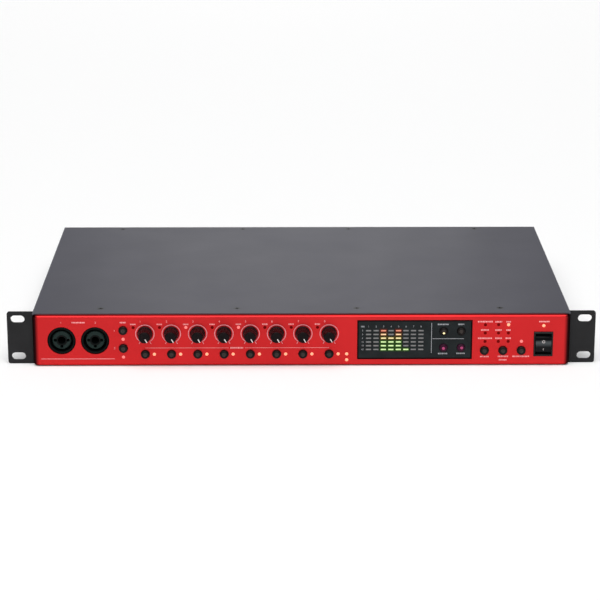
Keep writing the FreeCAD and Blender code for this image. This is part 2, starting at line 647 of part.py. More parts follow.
def base_tray():
    """The folded base: floor, side walls with vents, and a stiffening fold along each top."""
    floor = box(-HALF_CHASSIS, HALF_CHASSIS, 0, CHASSIS_DEPTH, 0, SHEET)
    vent_width, vent_z0, vent_z1 = VENT
    folds = []
    vents = []
    for side in (-1, 1):
        outer = side * HALF_CHASSIS
        inner = side * (HALF_CHASSIS - SHEET)
        lip = side * (HALF_CHASSIS - SHEET - TRAY_FOLD)
        x0, x1 = sorted((outer, inner))
        folds.append(box(x0, x1, EAR_PLATE, REAR_INNER_D, SHEET, LID_Z))
        folds.append(box(min(inner, lip), max(inner, lip), TRAY_FOLD_D[0], TRAY_FOLD_D[1],
                         LID_Z - SHEET, LID_Z))
        for group_d in VENT_GROUPS_D:
            for i in range(VENTS_PER_GROUP):
                d = group_d + VENT_PITCH * i
                vents.append(box(x0 - OVERRUN, x1 + OVERRUN, d, d + vent_width, vent_z0, vent_z1))
    screws = [screw_cone(x, d, 0, 1) for x, d in SCREW_PLACES]
    return floor.fuse(folds).removeSplitter().cut(vents + screws)


def case_screws():
    """Countersunk screws with a cross recess, in the lid and in the base."""
    length, width, depth = CROSS_RECESS
    screws = []
    for x, d in SCREW_PLACES:
        for outer_z, inward in ((HEIGHT, -1), (0, 1)):
            shank_z = sorted((outer_z + inward * SHEET, outer_z + inward * SCREW_LENGTH))
            screw = screw_cone(x, d, outer_z, inward).fuse(post(x, d, SCREW_R, *shank_z))
            recess_z = sorted((outer_z - inward * OVERRUN, outer_z + inward * depth))
            across = box(x - length / 2, x + length / 2, d - width / 2, d + width / 2, *recess_z)
            along = box(x - width / 2, x + width / 2, d - length / 2, d + length / 2, *recess_z)
            screws.append(screw.cut([across, along]))
    return screws


def rear_panel():
    """The back wall, folded forward top and bottom, with the holes for every rear socket."""
    inner_x = HALF_CHASSIS - SHEET
    flange_x = inner_x - REAR_FOLD_GAP
    plate = box(-inner_x, inner_x, REAR_INNER_D, CHASSIS_DEPTH, SHEET, LID_Z)
    flanges = [box(-flange_x, flange_x, REAR_INNER_D - REAR_FOLD, REAR_INNER_D, z0, z0 + REAR_PLATE)
               for z0 in (SHEET, LID_Z - REAR_PLATE)]
    d0 = REAR_INNER_D - OVERRUN
    d1 = CHASSIS_DEPTH + OVERRUN
    snout = OPTICAL_SNOUT + 2 * FIT
    holes = [rod(x, REAR_MID_Z, COMBO_R + FIT, d0, d1) for x in REAR_COMBO_X]
    for z in REAR_ROWS_Z:
        holes += [rod(x, z, LINE_NOSE_R + LINE_NOSE_FIT, d0, d1) for x in LINE_JACK_X]
        holes += [block(x, z, snout, snout, d0, d1) for x in OPTICAL_X]
        holes.append(rod(PHONO_X, z, PHONO_R + FIT, d0, d1))
        holes.append(rod(CLOCK_X, z, CLOCK_R + FIT, d0, d1))
    holes += [rod(x, REAR_MID_Z, MIDI_R + FIT, d0, d1) for x in MIDI_X]
    for x, (width, height, _) in ((COMPUTER_PORT_X, PORT_SHELL), (INLET_X, INLET_BODY)):
        holes.append(block(x, REAR_MID_Z, width + 2 * FIT, height + 2 * FIT, d0, d1))
    holes += [rod(INLET_X + side * INLET_SCREW, REAR_MID_Z, SCREW_R, d0, d1) for side in (-1, 1)]
    holes += [post(x, SCREW_REAR_D, SCREW_R, 0, HEIGHT) for x in SCREW_X]
    return plate.fuse(flanges).removeSplitter().cut(holes)


# ---- rear sockets -------------------------------------------------------------------------
def rear_line_jacks():
    """Two rows of quarter-inch jacks, each held by a six-sided nut."""
    width, height, depth = LINE_BODY
    nut_width, nut_height = LINE_NUT
    solids = []
    for z in REAR_ROWS_Z:
        for x in LINE_JACK_X:
            body = block(x, z, width, height, LINE_FACE_D - depth, REAR_INNER_D)
            nose = rod(x, z, LINE_NOSE_R, REAR_INNER_D, LINE_FACE_D)
            bore = rod(x, z, JACK_R, LINE_FACE_D - JACK_LENGTH, LINE_FACE_D + OVERRUN)
            solids.append(body.fuse(nose).cut(bore))
            nut = hexagon(x, z, nut_width, CHASSIS_DEPTH, CHASSIS_DEPTH + nut_height)
            solids.append(nut.cut(rod(x, z, LINE_NOSE_R, CHASSIS_DEPTH - OVERRUN, LINE_FACE_D)))
    return solids


def mains_inlet():
    """The three-pin mains inlet with its screwed flange, pins, rear tabs and screws."""
    z = REAR_MID_Z
    width, height, depth = INLET_BODY
    body_back = CHASSIS_DEPTH - depth
    flange = block(INLET_X, z, INLET_FLANGE[0], INLET_FLANGE[1], CHASSIS_DEPTH, INLET_FACE_D)
    body = block(INLET_X, z, width, height, body_back, CHASSIS_DEPTH)
    floor_d = INLET_FACE_D - INLET_CAVITY[2]
    cavity = block(INLET_X, z, INLET_CAVITY[0], INLET_CAVITY[1], floor_d, INLET_FACE_D + OVERRUN)
    upper_edges = [e for e in cavity.Edges if e.BoundBox.YLength > OVERRUN and e.BoundBox.ZMin > z]
    cavity = cavity.makeChamfer(INLET_CHAMFER, upper_edges)
    length, slit, sink = CROSS_RECESS
    shank_d = INLET_FACE_D - INLET_SCREW_HEAD
    screws = []
    recesses = []
    for side in (-1, 1):
        x = INLET_X + side * INLET_SCREW
        head = Part.makeCone(SCREW_HEAD_R, SCREW_R, INLET_SCREW_HEAD,
                             Vector(x, EAR_FACE_Y + INLET_FACE_D, z), Vector(0, -1, 0))
        screws.append(head.fuse(rod(x, z, SCREW_R, INLET_FACE_D - INLET_SCREW_LENGTH, shank_d)))
        recesses.append(block(x, z, length, slit, INLET_FACE_D - sink, INLET_FACE_D + OVERRUN))
        recesses.append(block(x, z, slit, length, INLET_FACE_D - sink, INLET_FACE_D + OVERRUN))
    housing = flange.fuse(body).cut([cavity] + screws)
    pins = [block(INLET_X + across, z + up, INLET_PIN[0], INLET_PIN[1], floor_d, INLET_FACE_D - behind)
            for across, up, behind in INLET_PINS]
    thickness, tab_height, reach = INLET_TAB
    tabs = [block(INLET_X + across, z, thickness, tab_height, body_back - reach, body_back)
            for across in INLET_TABS]
    return [housing] + pins + tabs + [screw.cut(recesses) for screw in screws]


def optical_ports():
    """Four square optical sockets."""
    face = CHASSIS_DEPTH + OPTICAL_PROUD
    opening, depth = OPTICAL_OPENING
    solids = []
    for z in REAR_ROWS_Z:
        for x in OPTICAL_X:
            body = block(x, z, OPTICAL_BODY, OPTICAL_BODY, REAR_INNER_D - OPTICAL_BODY, REAR_INNER_D)
            snout = block(x, z, OPTICAL_SNOUT, OPTICAL_SNOUT, REAR_INNER_D, face)
            mouth = block(x, z, opening, opening, face - depth, face + OVERRUN)
            solids.append(body.fuse(snout).cut(mouth))
    return solids


def phono_socket(z):
    """A phono socket: its body inside the case, and its sleeve with a centre hole."""
    width, height, depth = PHONO_BODY
    face = CHASSIS_DEPTH + PHONO_REACH
    bore_r, bore_start = PHONO_BORE
    bore = rod(PHONO_X, z, bore_r, CHASSIS_DEPTH - bore_start, face + OVERRUN)
    return [block(PHONO_X, z, width, height, REAR_INNER_D - depth, REAR_INNER_D),
            rod(PHONO_X, z, PHONO_R, REAR_INNER_D, face).cut(bore)]


def clock_socket(z):
    """A bayonet clock socket: body, barrel with its lugs and centre, and nut."""
    width, height, depth = CLOCK_BODY
    face = CHASSIS_DEPTH + SOCKET_REACH
    bore_r, bore_depth = CLOCK_BORE
    floor_d = face - bore_depth
    lug_r, lug_span, lug_back = CLOCK_LUG
    lug_start = Vector(CLOCK_X - lug_span / 2, EAR_FACE_Y + face - lug_back, z)
    lugs = Part.makeCylinder(lug_r, lug_span, lug_start, Vector(1, 0, 0))
    inside = rod(CLOCK_X, z, bore_r, floor_d, face + OVERRUN)
    barrel = rod(CLOCK_X, z, CLOCK_R, REAR_INNER_D, face).fuse(lugs).cut(inside)
    centre = rod(CLOCK_X, z, CLOCK_CENTRE[0], floor_d, face - CLOCK_CENTRE[1])
    centre = centre.cut(rod(CLOCK_X, z, CLOCK_CENTRE_BORE[0], face - CLOCK_CENTRE_BORE[1], face))
    nut = hexagon(CLOCK_X, z, CLOCK_NUT[0], CHASSIS_DEPTH, CHASSIS_DEPTH + CLOCK_NUT[1])
    nut = nut.cut(rod(CLOCK_X, z, CLOCK_R, CHASSIS_DEPTH - OVERRUN,
                      CHASSIS_DEPTH + CLOCK_NUT[1] + OVERRUN))
    return [block(CLOCK_X, z, width, height, REAR_INNER_D - depth, REAR_INNER_D), barrel.fuse(centre), nut]


def coaxial_sockets():
    """Two phono sockets and two bayonet clock sockets."""
    solids = []
    for z in REAR_ROWS_Z:
        solids += phono_socket(z) + clock_socket(z)
    return solids


def midi_sockets():
    """Two round five-pin sockets."""
    z = REAR_MID_Z
    width, height, depth = MIDI_BODY
    face = CHASSIS_DEPTH + MIDI_PROUD
    outer_r, inner_r, groove_depth = MIDI_GROOVE
    bottom = face - groove_depth
    solids = []
    for x in MIDI_X:
        body = block(x, z, width, height, REAR_INNER_D - depth, REAR_INNER_D)
        body = body.fuse(rod(x, z, MIDI_R, REAR_INNER_D, face))
        core = rod(x, z, inner_r, bottom - OVERRUN, face + 2 * OVERRUN)
        holes = [rod(x, z, outer_r, bottom, face + OVERRUN).cut(core)]
        for i in range(MIDI_PINS):
            angle = math.radians(180 + MIDI_PIN_STEP * i)
            pin_x = x + MIDI_PIN_CIRCLE_R * math.cos(angle)
            pin_z = z + MIDI_PIN_CIRCLE_R * math.sin(angle)
            holes.append(rod(pin_x, pin_z, MIDI_PIN_R, bottom, face + OVERRUN))
        solids.append(body.cut(holes))
    return solids


def computer_port():
    """The square computer socket with its inner tongue."""
    x = COMPUTER_PORT_X
    z = REAR_MID_Z
    face = CHASSIS_DEPTH + PORT_PROUD
    floor_d = face - PORT_CAVITY[2]
    shell = block(x, z, PORT_SHELL[0], PORT_SHELL[1], REAR_INNER_D - PORT_SHELL[2], face)
    cavity = block(x, z, PORT_CAVITY[0], PORT_CAVITY[1], floor_d, face + OVERRUN)
    tongue = block(x, z, PORT_TONGUE[0], PORT_TONGUE[1], floor_d, face - PORT_TONGUE[2])
    return shell.cut(cavity).fuse(tongue)


# ---- boards -------------------------------------------------------------------------------
def control_board():
    """The upright board behind the controls, with its chips and the ribbon header."""
    x0, x1, z0, z1 = CONTROL_BOARD
    back = CONTROL_BOARD_D + BOARD
    chip_width, chip_height, chip_thickness = CONTROL_CHIP
    chip_offset, chip_z = CONTROL_CHIP_PLACE
    header_width, header_height, header_reach = HEADER
    solids = [box(x0, x1, CONTROL_BOARD_D, back, z0, z1)]
    solids += [block(x + chip_offset, chip_z, chip_width, chip_height, back, back + chip_thickness)
               for x in KNOB_X]
    solids.append(block(HEADER_X, HEADER_Z, header_width, header_height, back, back + header_reach))
    return solids


def spacer_places():
    """Where the boards are screwed down."""
    x0, x1, d0, _ = MAIN_BOARD
    places = [(x, d) for x in (x0 + SPACER_INSET, SPACER_MIDDLE_X, x1 - SPACER_INSET)
              for d in (d0 + SPACER_INSET, SPACER_BACK_D)]
    x0, x1, d0, d1 = POWER_BOARD
    places += [(x, d) for x in (x0 + SPACER_INSET_POWER_X, x1 - SPACER_INSET_POWER_X)
               for d in (d0 + SPACER_INSET, d1 - SPACER_INSET)]
    return places


def screwed_board(extent):
    """A flat board with a hole at each spacer under it."""
    x0, x1, d0, d1 = extent
    board = box(x0, x1, d0, d1, BOARD_Z, BOARD_TOP)
    return board.cut([post(x, d, SCREW_R + FIT, 0, HEIGHT) for x, d in spacer_places()
                      if x0 < x < x1 and d0 < d < d1])


def component(place, size, z=BOARD_TOP):
    """A block-shaped component centred on an (across, depth) place, on a board unless z is given."""
    x, d = place
    width, depth, height = size
    return box(x - width / 2, x + width / 2, d - depth / 2, d + depth / 2, z, z + height)


def main_board():
    """The audio board: channel relays and capacitors, converters, a processor, the header."""
    solids = [screwed_board(MAIN_BOARD)]
    for i in range(KNOB_COUNT):
        x = INPUT_FIRST_X + INPUT_PITCH * i
        solids.append(component((x, RELAY_D), RELAY))
        solids.append(component((x, CODEC_D), CODEC))
        for d, r, height in CAPACITORS:
            solids.append(post(x + CAPACITOR_OFFSET_X, d, r, BOARD_TOP, BOARD_TOP + height))
    solids.append(component(PROCESSOR_PLACE, PROCESSOR))
    solids.append(component(CLOCK_CHIP_PLACE, CLOCK_CHIP))
    solids.append(component((HEADER_X, HEADER_D), HEADER))
    return solids


def power_supply():
    """The mains board: transformer, reservoir capacitors, heat sink and choke."""
    solids = [screwed_board(POWER_BOARD), component(TRANSFORMER_PLACE, TRANSFORMER)]
    x, d = TRANSFORMER_PLACE
    winding_d = d - (TRANSFORMER[1] + WINDING[1]) / 2
    solids.append(component((x, winding_d), WINDING, BOARD_TOP + WINDING_LIFT))
    radius, height = RESERVOIR
    solids += [post(x, RESERVOIR_D, radius, BOARD_TOP, BOARD_TOP + height) for x in RESERVOIR_X]
    radius, height, hole_r = CHOKE
    choke = post(*CHOKE_PLACE, radius, BOARD_TOP, BOARD_TOP + height)
    solids.append(choke.cut(post(*CHOKE_PLACE, hole_r, 0, HEIGHT)))
    x0, x1, d0, d1, height = HEAT_SINK
    sink = box(x0, x1, d0, d1, BOARD_TOP, BOARD_TOP + height)
    reach, thickness, low, high = FIN
    fins = []
    for i in range(FINS):
        fin_d = d0 + FIN_FIRST + FIN_PITCH * i
        fins.append(box(x0 - reach, x0, fin_d, fin_d + thickness, BOARD_TOP + low, BOARD_TOP + high))
    solids.append(sink.fuse(fins).removeSplitter())
    return solids


def board_spacers():
    """Six-sided spacers under the boards, with a pan-head screw in each."""
    bore_z = SHEET + SPACER_FLOOR
    head_r, head_height = PAN_HEAD
    slit, width, sink = PAN_SLOT
    head_top = BOARD_TOP + head_height
    solids = []
    for x, d in spacer_places():
        corners = []
        for i in range(7):
            angle = math.radians(60 * i)
            corners.append(Vector(x + SPACER_R * math.cos(angle),
                                  EAR_FACE_Y + d + SPACER_R * math.sin(angle), SHEET))
        spacer = Part.Face(Part.makePolygon(corners)).extrude(Vector(0, 0, BOARD_Z - SHEET))
        solids.append(spacer.cut(post(x, d, SCREW_R, bore_z, HEIGHT)))
        head = post(x, d, head_r, BOARD_TOP, head_top)
        shank = post(x, d, SCREW_R, bore_z + PAN_SCREW_GAP, BOARD_TOP)
        drive = box(x - slit / 2, x + slit / 2, d - width / 2, d + width / 2, head_top - sink,
                    head_top + OVERRUN)
        solids.append(head.fuse(shank).cut(drive))
    return solids


def ribbon_cable():
    """The flat cable from the control board's header down to the main board's."""
    start_d = CONTROL_BOARD_D + BOARD + HEADER[2]
    end_z = BOARD_TOP + HEADER[2]
    outer = [(start_d, RIBBON_OUTER[0][1])] + RIBBON_OUTER + [(RIBBON_OUTER[-1][0], end_z)]
    inner = [(RIBBON_INNER[0][0], end_z)] + RIBBON_INNER + [(start_d, RIBBON_INNER[-1][1])]
    half = HEADER[0] / 2 - RIBBON_INSET
    return outline_solid(outer + inner, HEADER_X - half, HEADER_X + half)


# ---- write every node ---------------------------------------------------------------------
os.makedirs("parts", exist_ok=True)
write("rack_panel", *rack_panel())
write("front_fascia", front_fascia())
write("meter_window", meter_window())
write("meter_display", *meter_display())
write("indicator_lights", *indicator_lights())
for number, jack_x in enumerate(COMBO_X, 1):
    write("combo_jack_%d" % number, combo_jack(jack_x, COMBO_Z, FASCIA_D + COMBO_SUNK))
for number, knob_x in enumerate(KNOB_X, 1):
    write("gain_knob_%d" % number, gain_knob(knob_x))
    write("gain_shaft_%d" % number, gain_shaft(knob_x))
write("gain_potentiometers", *gain_potentiometers())
for button, button_x, button_z, button_r, button_face in button_places():
    write(button, push_button(button_x, button_z, button_r, button_face))
write("push_switches", *push_switches())
write("power_switch_housing", *power_switch_housing())
write("power_rocker", power_rocker())
write("top_cover", top_cover())
write("base_tray", base_tray())
write("case_screws", *case_screws())
write("rear_panel", rear_panel())
rear_face = CHASSIS_DEPTH + REAR_COMBO_PROUD
write("rear_combo_jacks", *[faced_back(combo_jack(x, REAR_MID_Z, -rear_face), x) for x in REAR_COMBO_X])
write("rear_line_jacks", *rear_line_jacks())
write("mains_inlet", *mains_inlet())
write("optical_ports", *optical_ports())
write("coaxial_sockets", *coaxial_sockets())
write("midi_sockets", *midi_sockets())
write("computer_port", computer_port())
write("control_board", *control_board())
write("main_board", *main_board())
write("power_supply", *power_supply())
write("board_spacers", *board_spacers())
write("ribbon_cable", ribbon_cable())
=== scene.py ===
import json
import math
import random

import bmesh
import bpy
from mathutils import Matrix, Vector


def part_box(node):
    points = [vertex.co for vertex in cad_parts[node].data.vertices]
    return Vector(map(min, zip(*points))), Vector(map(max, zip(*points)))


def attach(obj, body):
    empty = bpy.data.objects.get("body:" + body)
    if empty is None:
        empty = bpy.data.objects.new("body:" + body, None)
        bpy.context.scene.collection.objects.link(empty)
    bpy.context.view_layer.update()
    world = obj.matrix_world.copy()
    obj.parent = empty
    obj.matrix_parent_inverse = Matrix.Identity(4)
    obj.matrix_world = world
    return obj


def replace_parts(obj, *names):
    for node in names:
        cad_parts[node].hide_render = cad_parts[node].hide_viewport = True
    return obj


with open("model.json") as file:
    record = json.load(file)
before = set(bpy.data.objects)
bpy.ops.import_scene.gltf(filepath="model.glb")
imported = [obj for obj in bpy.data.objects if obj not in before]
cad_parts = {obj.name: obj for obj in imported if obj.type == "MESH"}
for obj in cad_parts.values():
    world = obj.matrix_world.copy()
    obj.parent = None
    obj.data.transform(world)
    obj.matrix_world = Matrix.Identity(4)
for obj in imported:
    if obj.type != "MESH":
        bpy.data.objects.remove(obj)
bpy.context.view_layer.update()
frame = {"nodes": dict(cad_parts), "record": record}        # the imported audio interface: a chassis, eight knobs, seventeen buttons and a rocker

MM = 0.001
CHASSIS = "chassis"
scene = bpy.context.scene


# ---- places, from the frame ---------------------------------------------------------------
def centre(node):
    """The middle of a CAD node's box."""
    low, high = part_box(node)
    return (low + high) / 2


def front_of(node):
    """How far forward a CAD node reaches."""
    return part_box(node)[0].y


def numbered(name, count):
    """The names of a row of CAD nodes, numbered from 1."""
    return ["%s_%d" % (name, i) for i in range(1, count + 1)]


EAR_Y = front_of("rack_panel")
FASCIA_Y = front_of("front_fascia")
FASCIA_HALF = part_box("front_fascia")[1].x
WINDOW_Y = front_of("meter_window")
KNOBS = numbered("gain_knob", 8)
KNOB_CENTRES = [centre(name) for name in KNOBS]
BUTTONS = (numbered("instrument_button", 2) + numbered("channel_button", 8)
           + numbered("monitor_button", 4) + numbered("output_button", 3))
BUTTON_CENTRES = {name: centre(name) for name in BUTTONS}
SWITCH = centre("power_switch_housing")
REAR_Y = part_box("rear_panel")[1].y


# ---- materials ----------------------------------------------------------------------------
WHOLE_PITCHES = 20        # added to a place along a row before it is folded, so that it's above 0


class Surface:
    """A principled material, and the ways to add procedural detail to it; sizes are in metres."""

    def __init__(self, name, colour, roughness, metallic=0.0, coat=0.0, specular=0.5):
        self.material = bpy.data.materials.new(name)
        self.material.use_nodes = True
        self.nodes = self.material.node_tree.nodes
        self.links = self.material.node_tree.links
        self.shader = self.nodes["Principled BSDF"]
        self.shader.inputs["Base Color"].default_value = (*colour, 1)
        self.shader.inputs["Roughness"].default_value = roughness
        self.shader.inputs["Metallic"].default_value = metallic
        self.shader.inputs["Coat Weight"].default_value = coat
        self.shader.inputs["Specular IOR Level"].default_value = specular
        self.colour = colour
        self.roughness = roughness
        self.place = self.nodes.new("ShaderNodeTexCoord").outputs["Object"]
        self.height = None

    def stretched(self, scale):
        """Object coordinates stretched along each axis, for brushed or drawn grain."""
        mapping = self.nodes.new("ShaderNodeMapping")
        mapping.inputs["Scale"].default_value = scale
        self.links.new(self.place, mapping.inputs["Vector"])
        return mapping.outputs["Vector"]

    def noise(self, size, detail=2.0, stretch=None):
        """Noise whose blotches are about size across."""
        node = self.nodes.new("ShaderNodeTexNoise")
        node.inputs["Scale"].default_value = 1 / size
        node.inputs["Detail"].default_value = detail
        self.links.new(self.stretched(stretch) if stretch else self.place, node.inputs["Vector"])
        return node.outputs["Fac"]

    def ramp(self, value, low, high, low_out, high_out):
        """value taken from one range to another."""
        node = self.nodes.new("ShaderNodeMapRange")
        node.inputs["From Min"].default_value = low
        node.inputs["From Max"].default_value = high
        node.inputs["To Min"].default_value = low_out
        node.inputs["To Max"].default_value = high_out
        self.links.new(value, node.inputs["Value"])
        return node.outputs["Result"]

    def mixed(self, factor, first, second):
        """A colour between two, each a colour or an output."""
        node = self.nodes.new("ShaderNodeMix")
        node.data_type = "RGBA"
        self.links.new(factor, node.inputs["Factor"])
        for socket, value in ((node.inputs[6], first), (node.inputs[7], second)):
            if isinstance(value, bpy.types.NodeSocket):
                self.links.new(value, socket)
            else:
                socket.default_value = (*value, 1)
        return node.outputs[2]

    def tint(self, spread, size, detail=3.0):
        """Slow colour variation: the colour is up to spread darker or lighter."""
        dark = [c * (1 - spread) for c in self.colour]
        light = [min(1, c * (1 + spread)) for c in self.colour]
        factor = self.ramp(self.noise(size, detail), 0.35, 0.65, 0, 1)
        self.links.new(self.mixed(factor, dark, light), self.shader.inputs["Base Color"])
        return self

    def wear(self, spread, size, stretch=None):
        """Roughness that varies by spread, as with handling."""
        value = self.ramp(self.noise(size, 4.0, stretch), 0.3, 0.7,
                          max(0.02, self.roughness - spread), self.roughness + spread)
        self.links.new(value, self.shader.inputs["Roughness"])
        return self

    def grain(self, size, depth, stretch=None, detail=2.0):
        """Surface grain: bumps about size across and depth high."""
        bump = self.nodes.new("ShaderNodeBump")
        bump.inputs["Distance"].default_value = depth
        bump.inputs["Strength"].default_value = 1.0
        self.links.new(self.noise(size, detail, stretch), bump.inputs["Height"])
        if self.height is not None:
            self.links.new(self.height, bump.inputs["Normal"])
        self.height = bump.outputs["Normal"]
        self.links.new(self.height, self.shader.inputs["Normal"])
        return self

    def glow(self, colour, strength):
        """Light of its own."""
        self.shader.inputs["Emission Color"].default_value = (*colour, 1)
        self.shader.inputs["Emission Strength"].default_value = strength
        return self

    def coordinates(self):
        """The object coordinates, as separate outputs."""
        apart = self.nodes.new("ShaderNodeSeparateXYZ")
        self.links.new(self.place, apart.inputs[0])
        return apart.outputs

    def over(self, share, colour):
        """Another colour laid over the one so far, by a share from 0 to 1."""
        socket = self.shader.inputs["Base Color"]
        self.links.new(self.mixed(share, socket.links[0].from_socket, colour), socket)
        return self

    def discs(self, x, z, radius, colour, pitch=None):
        """Another colour inside a radius of a front-to-back line, or of a row of them a pitch apart."""
        place = self.coordinates()
        across = self.calculated("SUBTRACT", place["X"], x)
        if pitch:
            shifted = self.calculated("ADD", across, WHOLE_PITCHES * pitch)
            across = self.calculated("PINGPONG", shifted, pitch / 2)
        up = self.calculated("SUBTRACT", place["Z"], z)
        square = self.calculated("ADD", self.calculated("MULTIPLY", across, across),
                                 self.calculated("MULTIPLY", up, up))
        return self.over(self.calculated("LESS_THAN", square, radius ** 2), colour)

    def fade_up(self, low, high, colour):
        """Another colour that fades in with height, from low to high."""
        return self.over(self.ramp(self.coordinates()["Z"], low, high, 0, 1), colour)

    def fade_out_sideways(self, start, stop, colour):
        """Another colour that fades in with the distance from the middle of the width."""
        away = self.calculated("ABSOLUTE", self.coordinates()["X"], 0)
        return self.over(self.ramp(away, start, stop, 0, 1), colour)

    def calculated(self, operation, first, second):
        """One step of arithmetic on outputs or numbers."""
        node = self.nodes.new("ShaderNodeMath")
        node.operation = operation
        for socket, value in zip(node.inputs, (first, second)):
            if isinstance(value, bpy.types.NodeSocket):
                self.links.new(value, socket)
            else:
                socket.default_value = value
        return node.outputs[0]


RED = (0.585, 0.0245, 0.027)
red_paint = Surface("red_satin_anodising_with_painted_end_shade", RED, 0.36, metallic=0.88, specular=0.3)
red_paint.shader.inputs["Specular Tint"].default_value = (0.45, 0.02, 0.03, 1)
red_paint.tint(0.05, 0.09).wear(0.05, 0.03).grain(0.00035, 0.0000035)
# painted shade: the rounded ends of the fascia darken between these distances from its tips, standing
# for the dark surroundings their curves reflect
END_FADE_START = 5.3 * MM
END_FADE_STOP = 2.3 * MM
END_PAINTED_SHADE = (0.02, 0.004, 0.005)
red_paint.fade_out_sideways(FASCIA_HALF - END_FADE_START, FASCIA_HALF - END_FADE_STOP, END_PAINTED_SHADE)

ear_black = Surface("black_powder_coat", (0.012, 0.012, 0.013), 0.5, specular=0.18)
ear_black.tint(0.15, 0.02).wear(0.06, 0.012).grain(0.0007, 0.000025, detail=3.0)

cover_grey = Surface("dark_grey_powder_coat", (0.061, 0.0615, 0.078), 0.40, specular=0.4)
cover_grey.tint(0.04, 0.06).wear(0.02, 0.05).grain(0.0006, 0.00001, detail=3.0)

rear_black = Surface("rear_panel_powder_coat", (0.02, 0.02, 0.022), 0.5, specular=0.3)
rear_black.tint(0.12, 0.03).wear(0.06, 0.02).grain(0.0007, 0.00002, detail=3.0)

smoked = Surface("smoked_gloss_acrylic", (0.009, 0.012, 0.013), 0.12, specular=0.12)
smoked.tint(0.2, 0.01).wear(0.025, 0.02).grain(0.004, 0.000002)

# near black painted shade for the window's edges
window_edge_shade = Surface("window_edge_painted_shade", (0.004, 0.002, 0.002), 0.6, specular=0.03)
window_edge_shade.tint(0.2, 0.004).wear(0.05, 0.01).grain(0.001, 0.000001)

jack_plastic = Surface("black_glass_filled_nylon", (0.006, 0.007, 0.007), 0.36, specular=0.15)
jack_plastic.tint(0.2, 0.004).wear(0.08, 0.003).grain(0.0003, 0.000006)

switch_plastic = Surface("gloss_black_moulding", (0.006, 0.008, 0.008), 0.24, specular=0.15)
switch_plastic.tint(0.2, 0.006).wear(0.06, 0.004).grain(0.0005, 0.000002)

knob_plastic = Surface("satin_black_knob_moulding", (0.005, 0.003, 0.0035), 0.30, specular=0.08)
knob_plastic.tint(0.2, 0.003).wear(0.1, 0.002).grain(0.00025, 0.000006)

button_plastic = Surface("satin_black_button", (0.006, 0.004, 0.004), 0.36, specular=0.12)
button_plastic.tint(0.2, 0.003).wear(0.08, 0.002).grain(0.0003, 0.000004)

# the lighter brown middle of a button's dish is a painted highlight, for the light the dish reflects
button_dish_highlight = Surface("button_dish_painted_highlight", (0.030, 0.023, 0.020), 0.42, specular=0.2)
button_dish_highlight.tint(0.25, 0.001).wear(0.08, 0.001).grain(0.0003, 0.000004)

magenta_cap = Surface("translucent_magenta_cap", (0.030, 0.003, 0.016), 0.36, specular=0.12)
magenta_cap.tint(0.3, 0.002).wear(0.08, 0.002).grain(0.0003, 0.000004)

blackened = Surface("blackened_screw_steel", (0.06, 0.06, 0.062), 0.36, metallic=0.85)
blackened.tint(0.2, 0.002).wear(0.1, 0.001).grain(0.0003, 0.000005)

nickel = Surface("nickel_plate", (0.62, 0.60, 0.56), 0.22, metallic=1.0)
nickel.tint(0.08, 0.003).wear(0.08, 0.002).grain(0.0004, 0.000003)

turned_metal = Surface("turned_aluminium", (0.60, 0.60, 0.61), 0.3, metallic=1.0)
turned_metal.tint(0.05, 0.002).wear(0.08, 0.002).grain(0.0002, 0.000004, stretch=(0.1, 1, 0.1))

board_green = Surface("green_solder_mask", (0.012, 0.075, 0.03), 0.35, coat=0.2)
board_green.tint(0.35, 0.002).wear(0.08, 0.004).grain(0.0008, 0.00002)

ribbon_grey = Surface("ribbed_grey_ribbon", (0.30, 0.30, 0.31), 0.5)
ribbon_grey.tint(0.1, 0.004).wear(0.06, 0.004).grain(0.0006, 0.0001, stretch=(2, 0.02, 0.02))

print_white = Surface("screen_print_white", (0.66, 0.60, 0.58), 0.55)
print_white.tint(0.06, 0.001).grain(0.0002, 0.000004)

print_pink = Surface("screen_print_on_red", (0.80, 0.33, 0.34), 0.55)
print_pink.tint(0.08, 0.001).grain(0.0002, 0.000004)

scale_pink = Surface("knob_scale_print", (0.70, 0.25, 0.28), 0.55)
scale_pink.tint(0.1, 0.001).grain(0.0002, 0.000004)

print_grey = Surface("screen_print_grey", (0.30, 0.31, 0.33), 0.5)
print_grey.tint(0.1, 0.001).grain(0.0002, 0.000004)


def lens(name, body, glow, strength, specular=0.5):
    """A moulded lens, frosted inside, with its own light."""
    surface = Surface(name, body, 0.25, specular=specular)
    surface.tint(0.15, 0.0006).wear(0.05, 0.0005).grain(0.0003, 0.00001)
    return surface.glow(glow, strength)


amber_lit = lens("amber_lens_lit", (0.90, 0.30, 0.17), (1.0, 0.32, 0.19), 0.72)
pink_lit = lens("red_lens_dim", (0.82, 0.18, 0.17), (1.0, 0.20, 0.18), 0.33)
red_off = lens("red_lens_off", (0.13, 0.001, 0.001), (0.2, 0.0, 0.0), 0.02, specular=0.03)
button_pink = lens("button_lens_pink", (0.30, 0.04, 0.12), (0.95, 0.12, 0.35), 0.10, specular=0.2)
button_amber = lens("button_lens_amber", (0.8, 0.68, 0.35), (1.0, 0.78, 0.36), 0.55)
bar_lenses = {
    "red": lens("meter_bar_red", (0.60, 0.20, 0.12), (1.0, 0.26, 0.13), 0.22),
    "orange": lens("meter_bar_orange", (0.70, 0.46, 0.26), (1.0, 0.55, 0.25), 0.32),
    "yellow": lens("meter_bar_yellow", (0.65, 0.56, 0.28), (1.0, 0.72, 0.28), 0.30),
    "green": lens("meter_bar_green", (0.45, 0.62, 0.28), (0.55, 0.85, 0.28), 0.32),
    # unlit bars get a faint painted glow, standing for the room's light reaching them through the smoked
    # window
    "off": lens("meter_bar_off_painted_glow", (0.15, 0.15, 0.15), (0.5, 0.5, 0.5), 0.02),
}
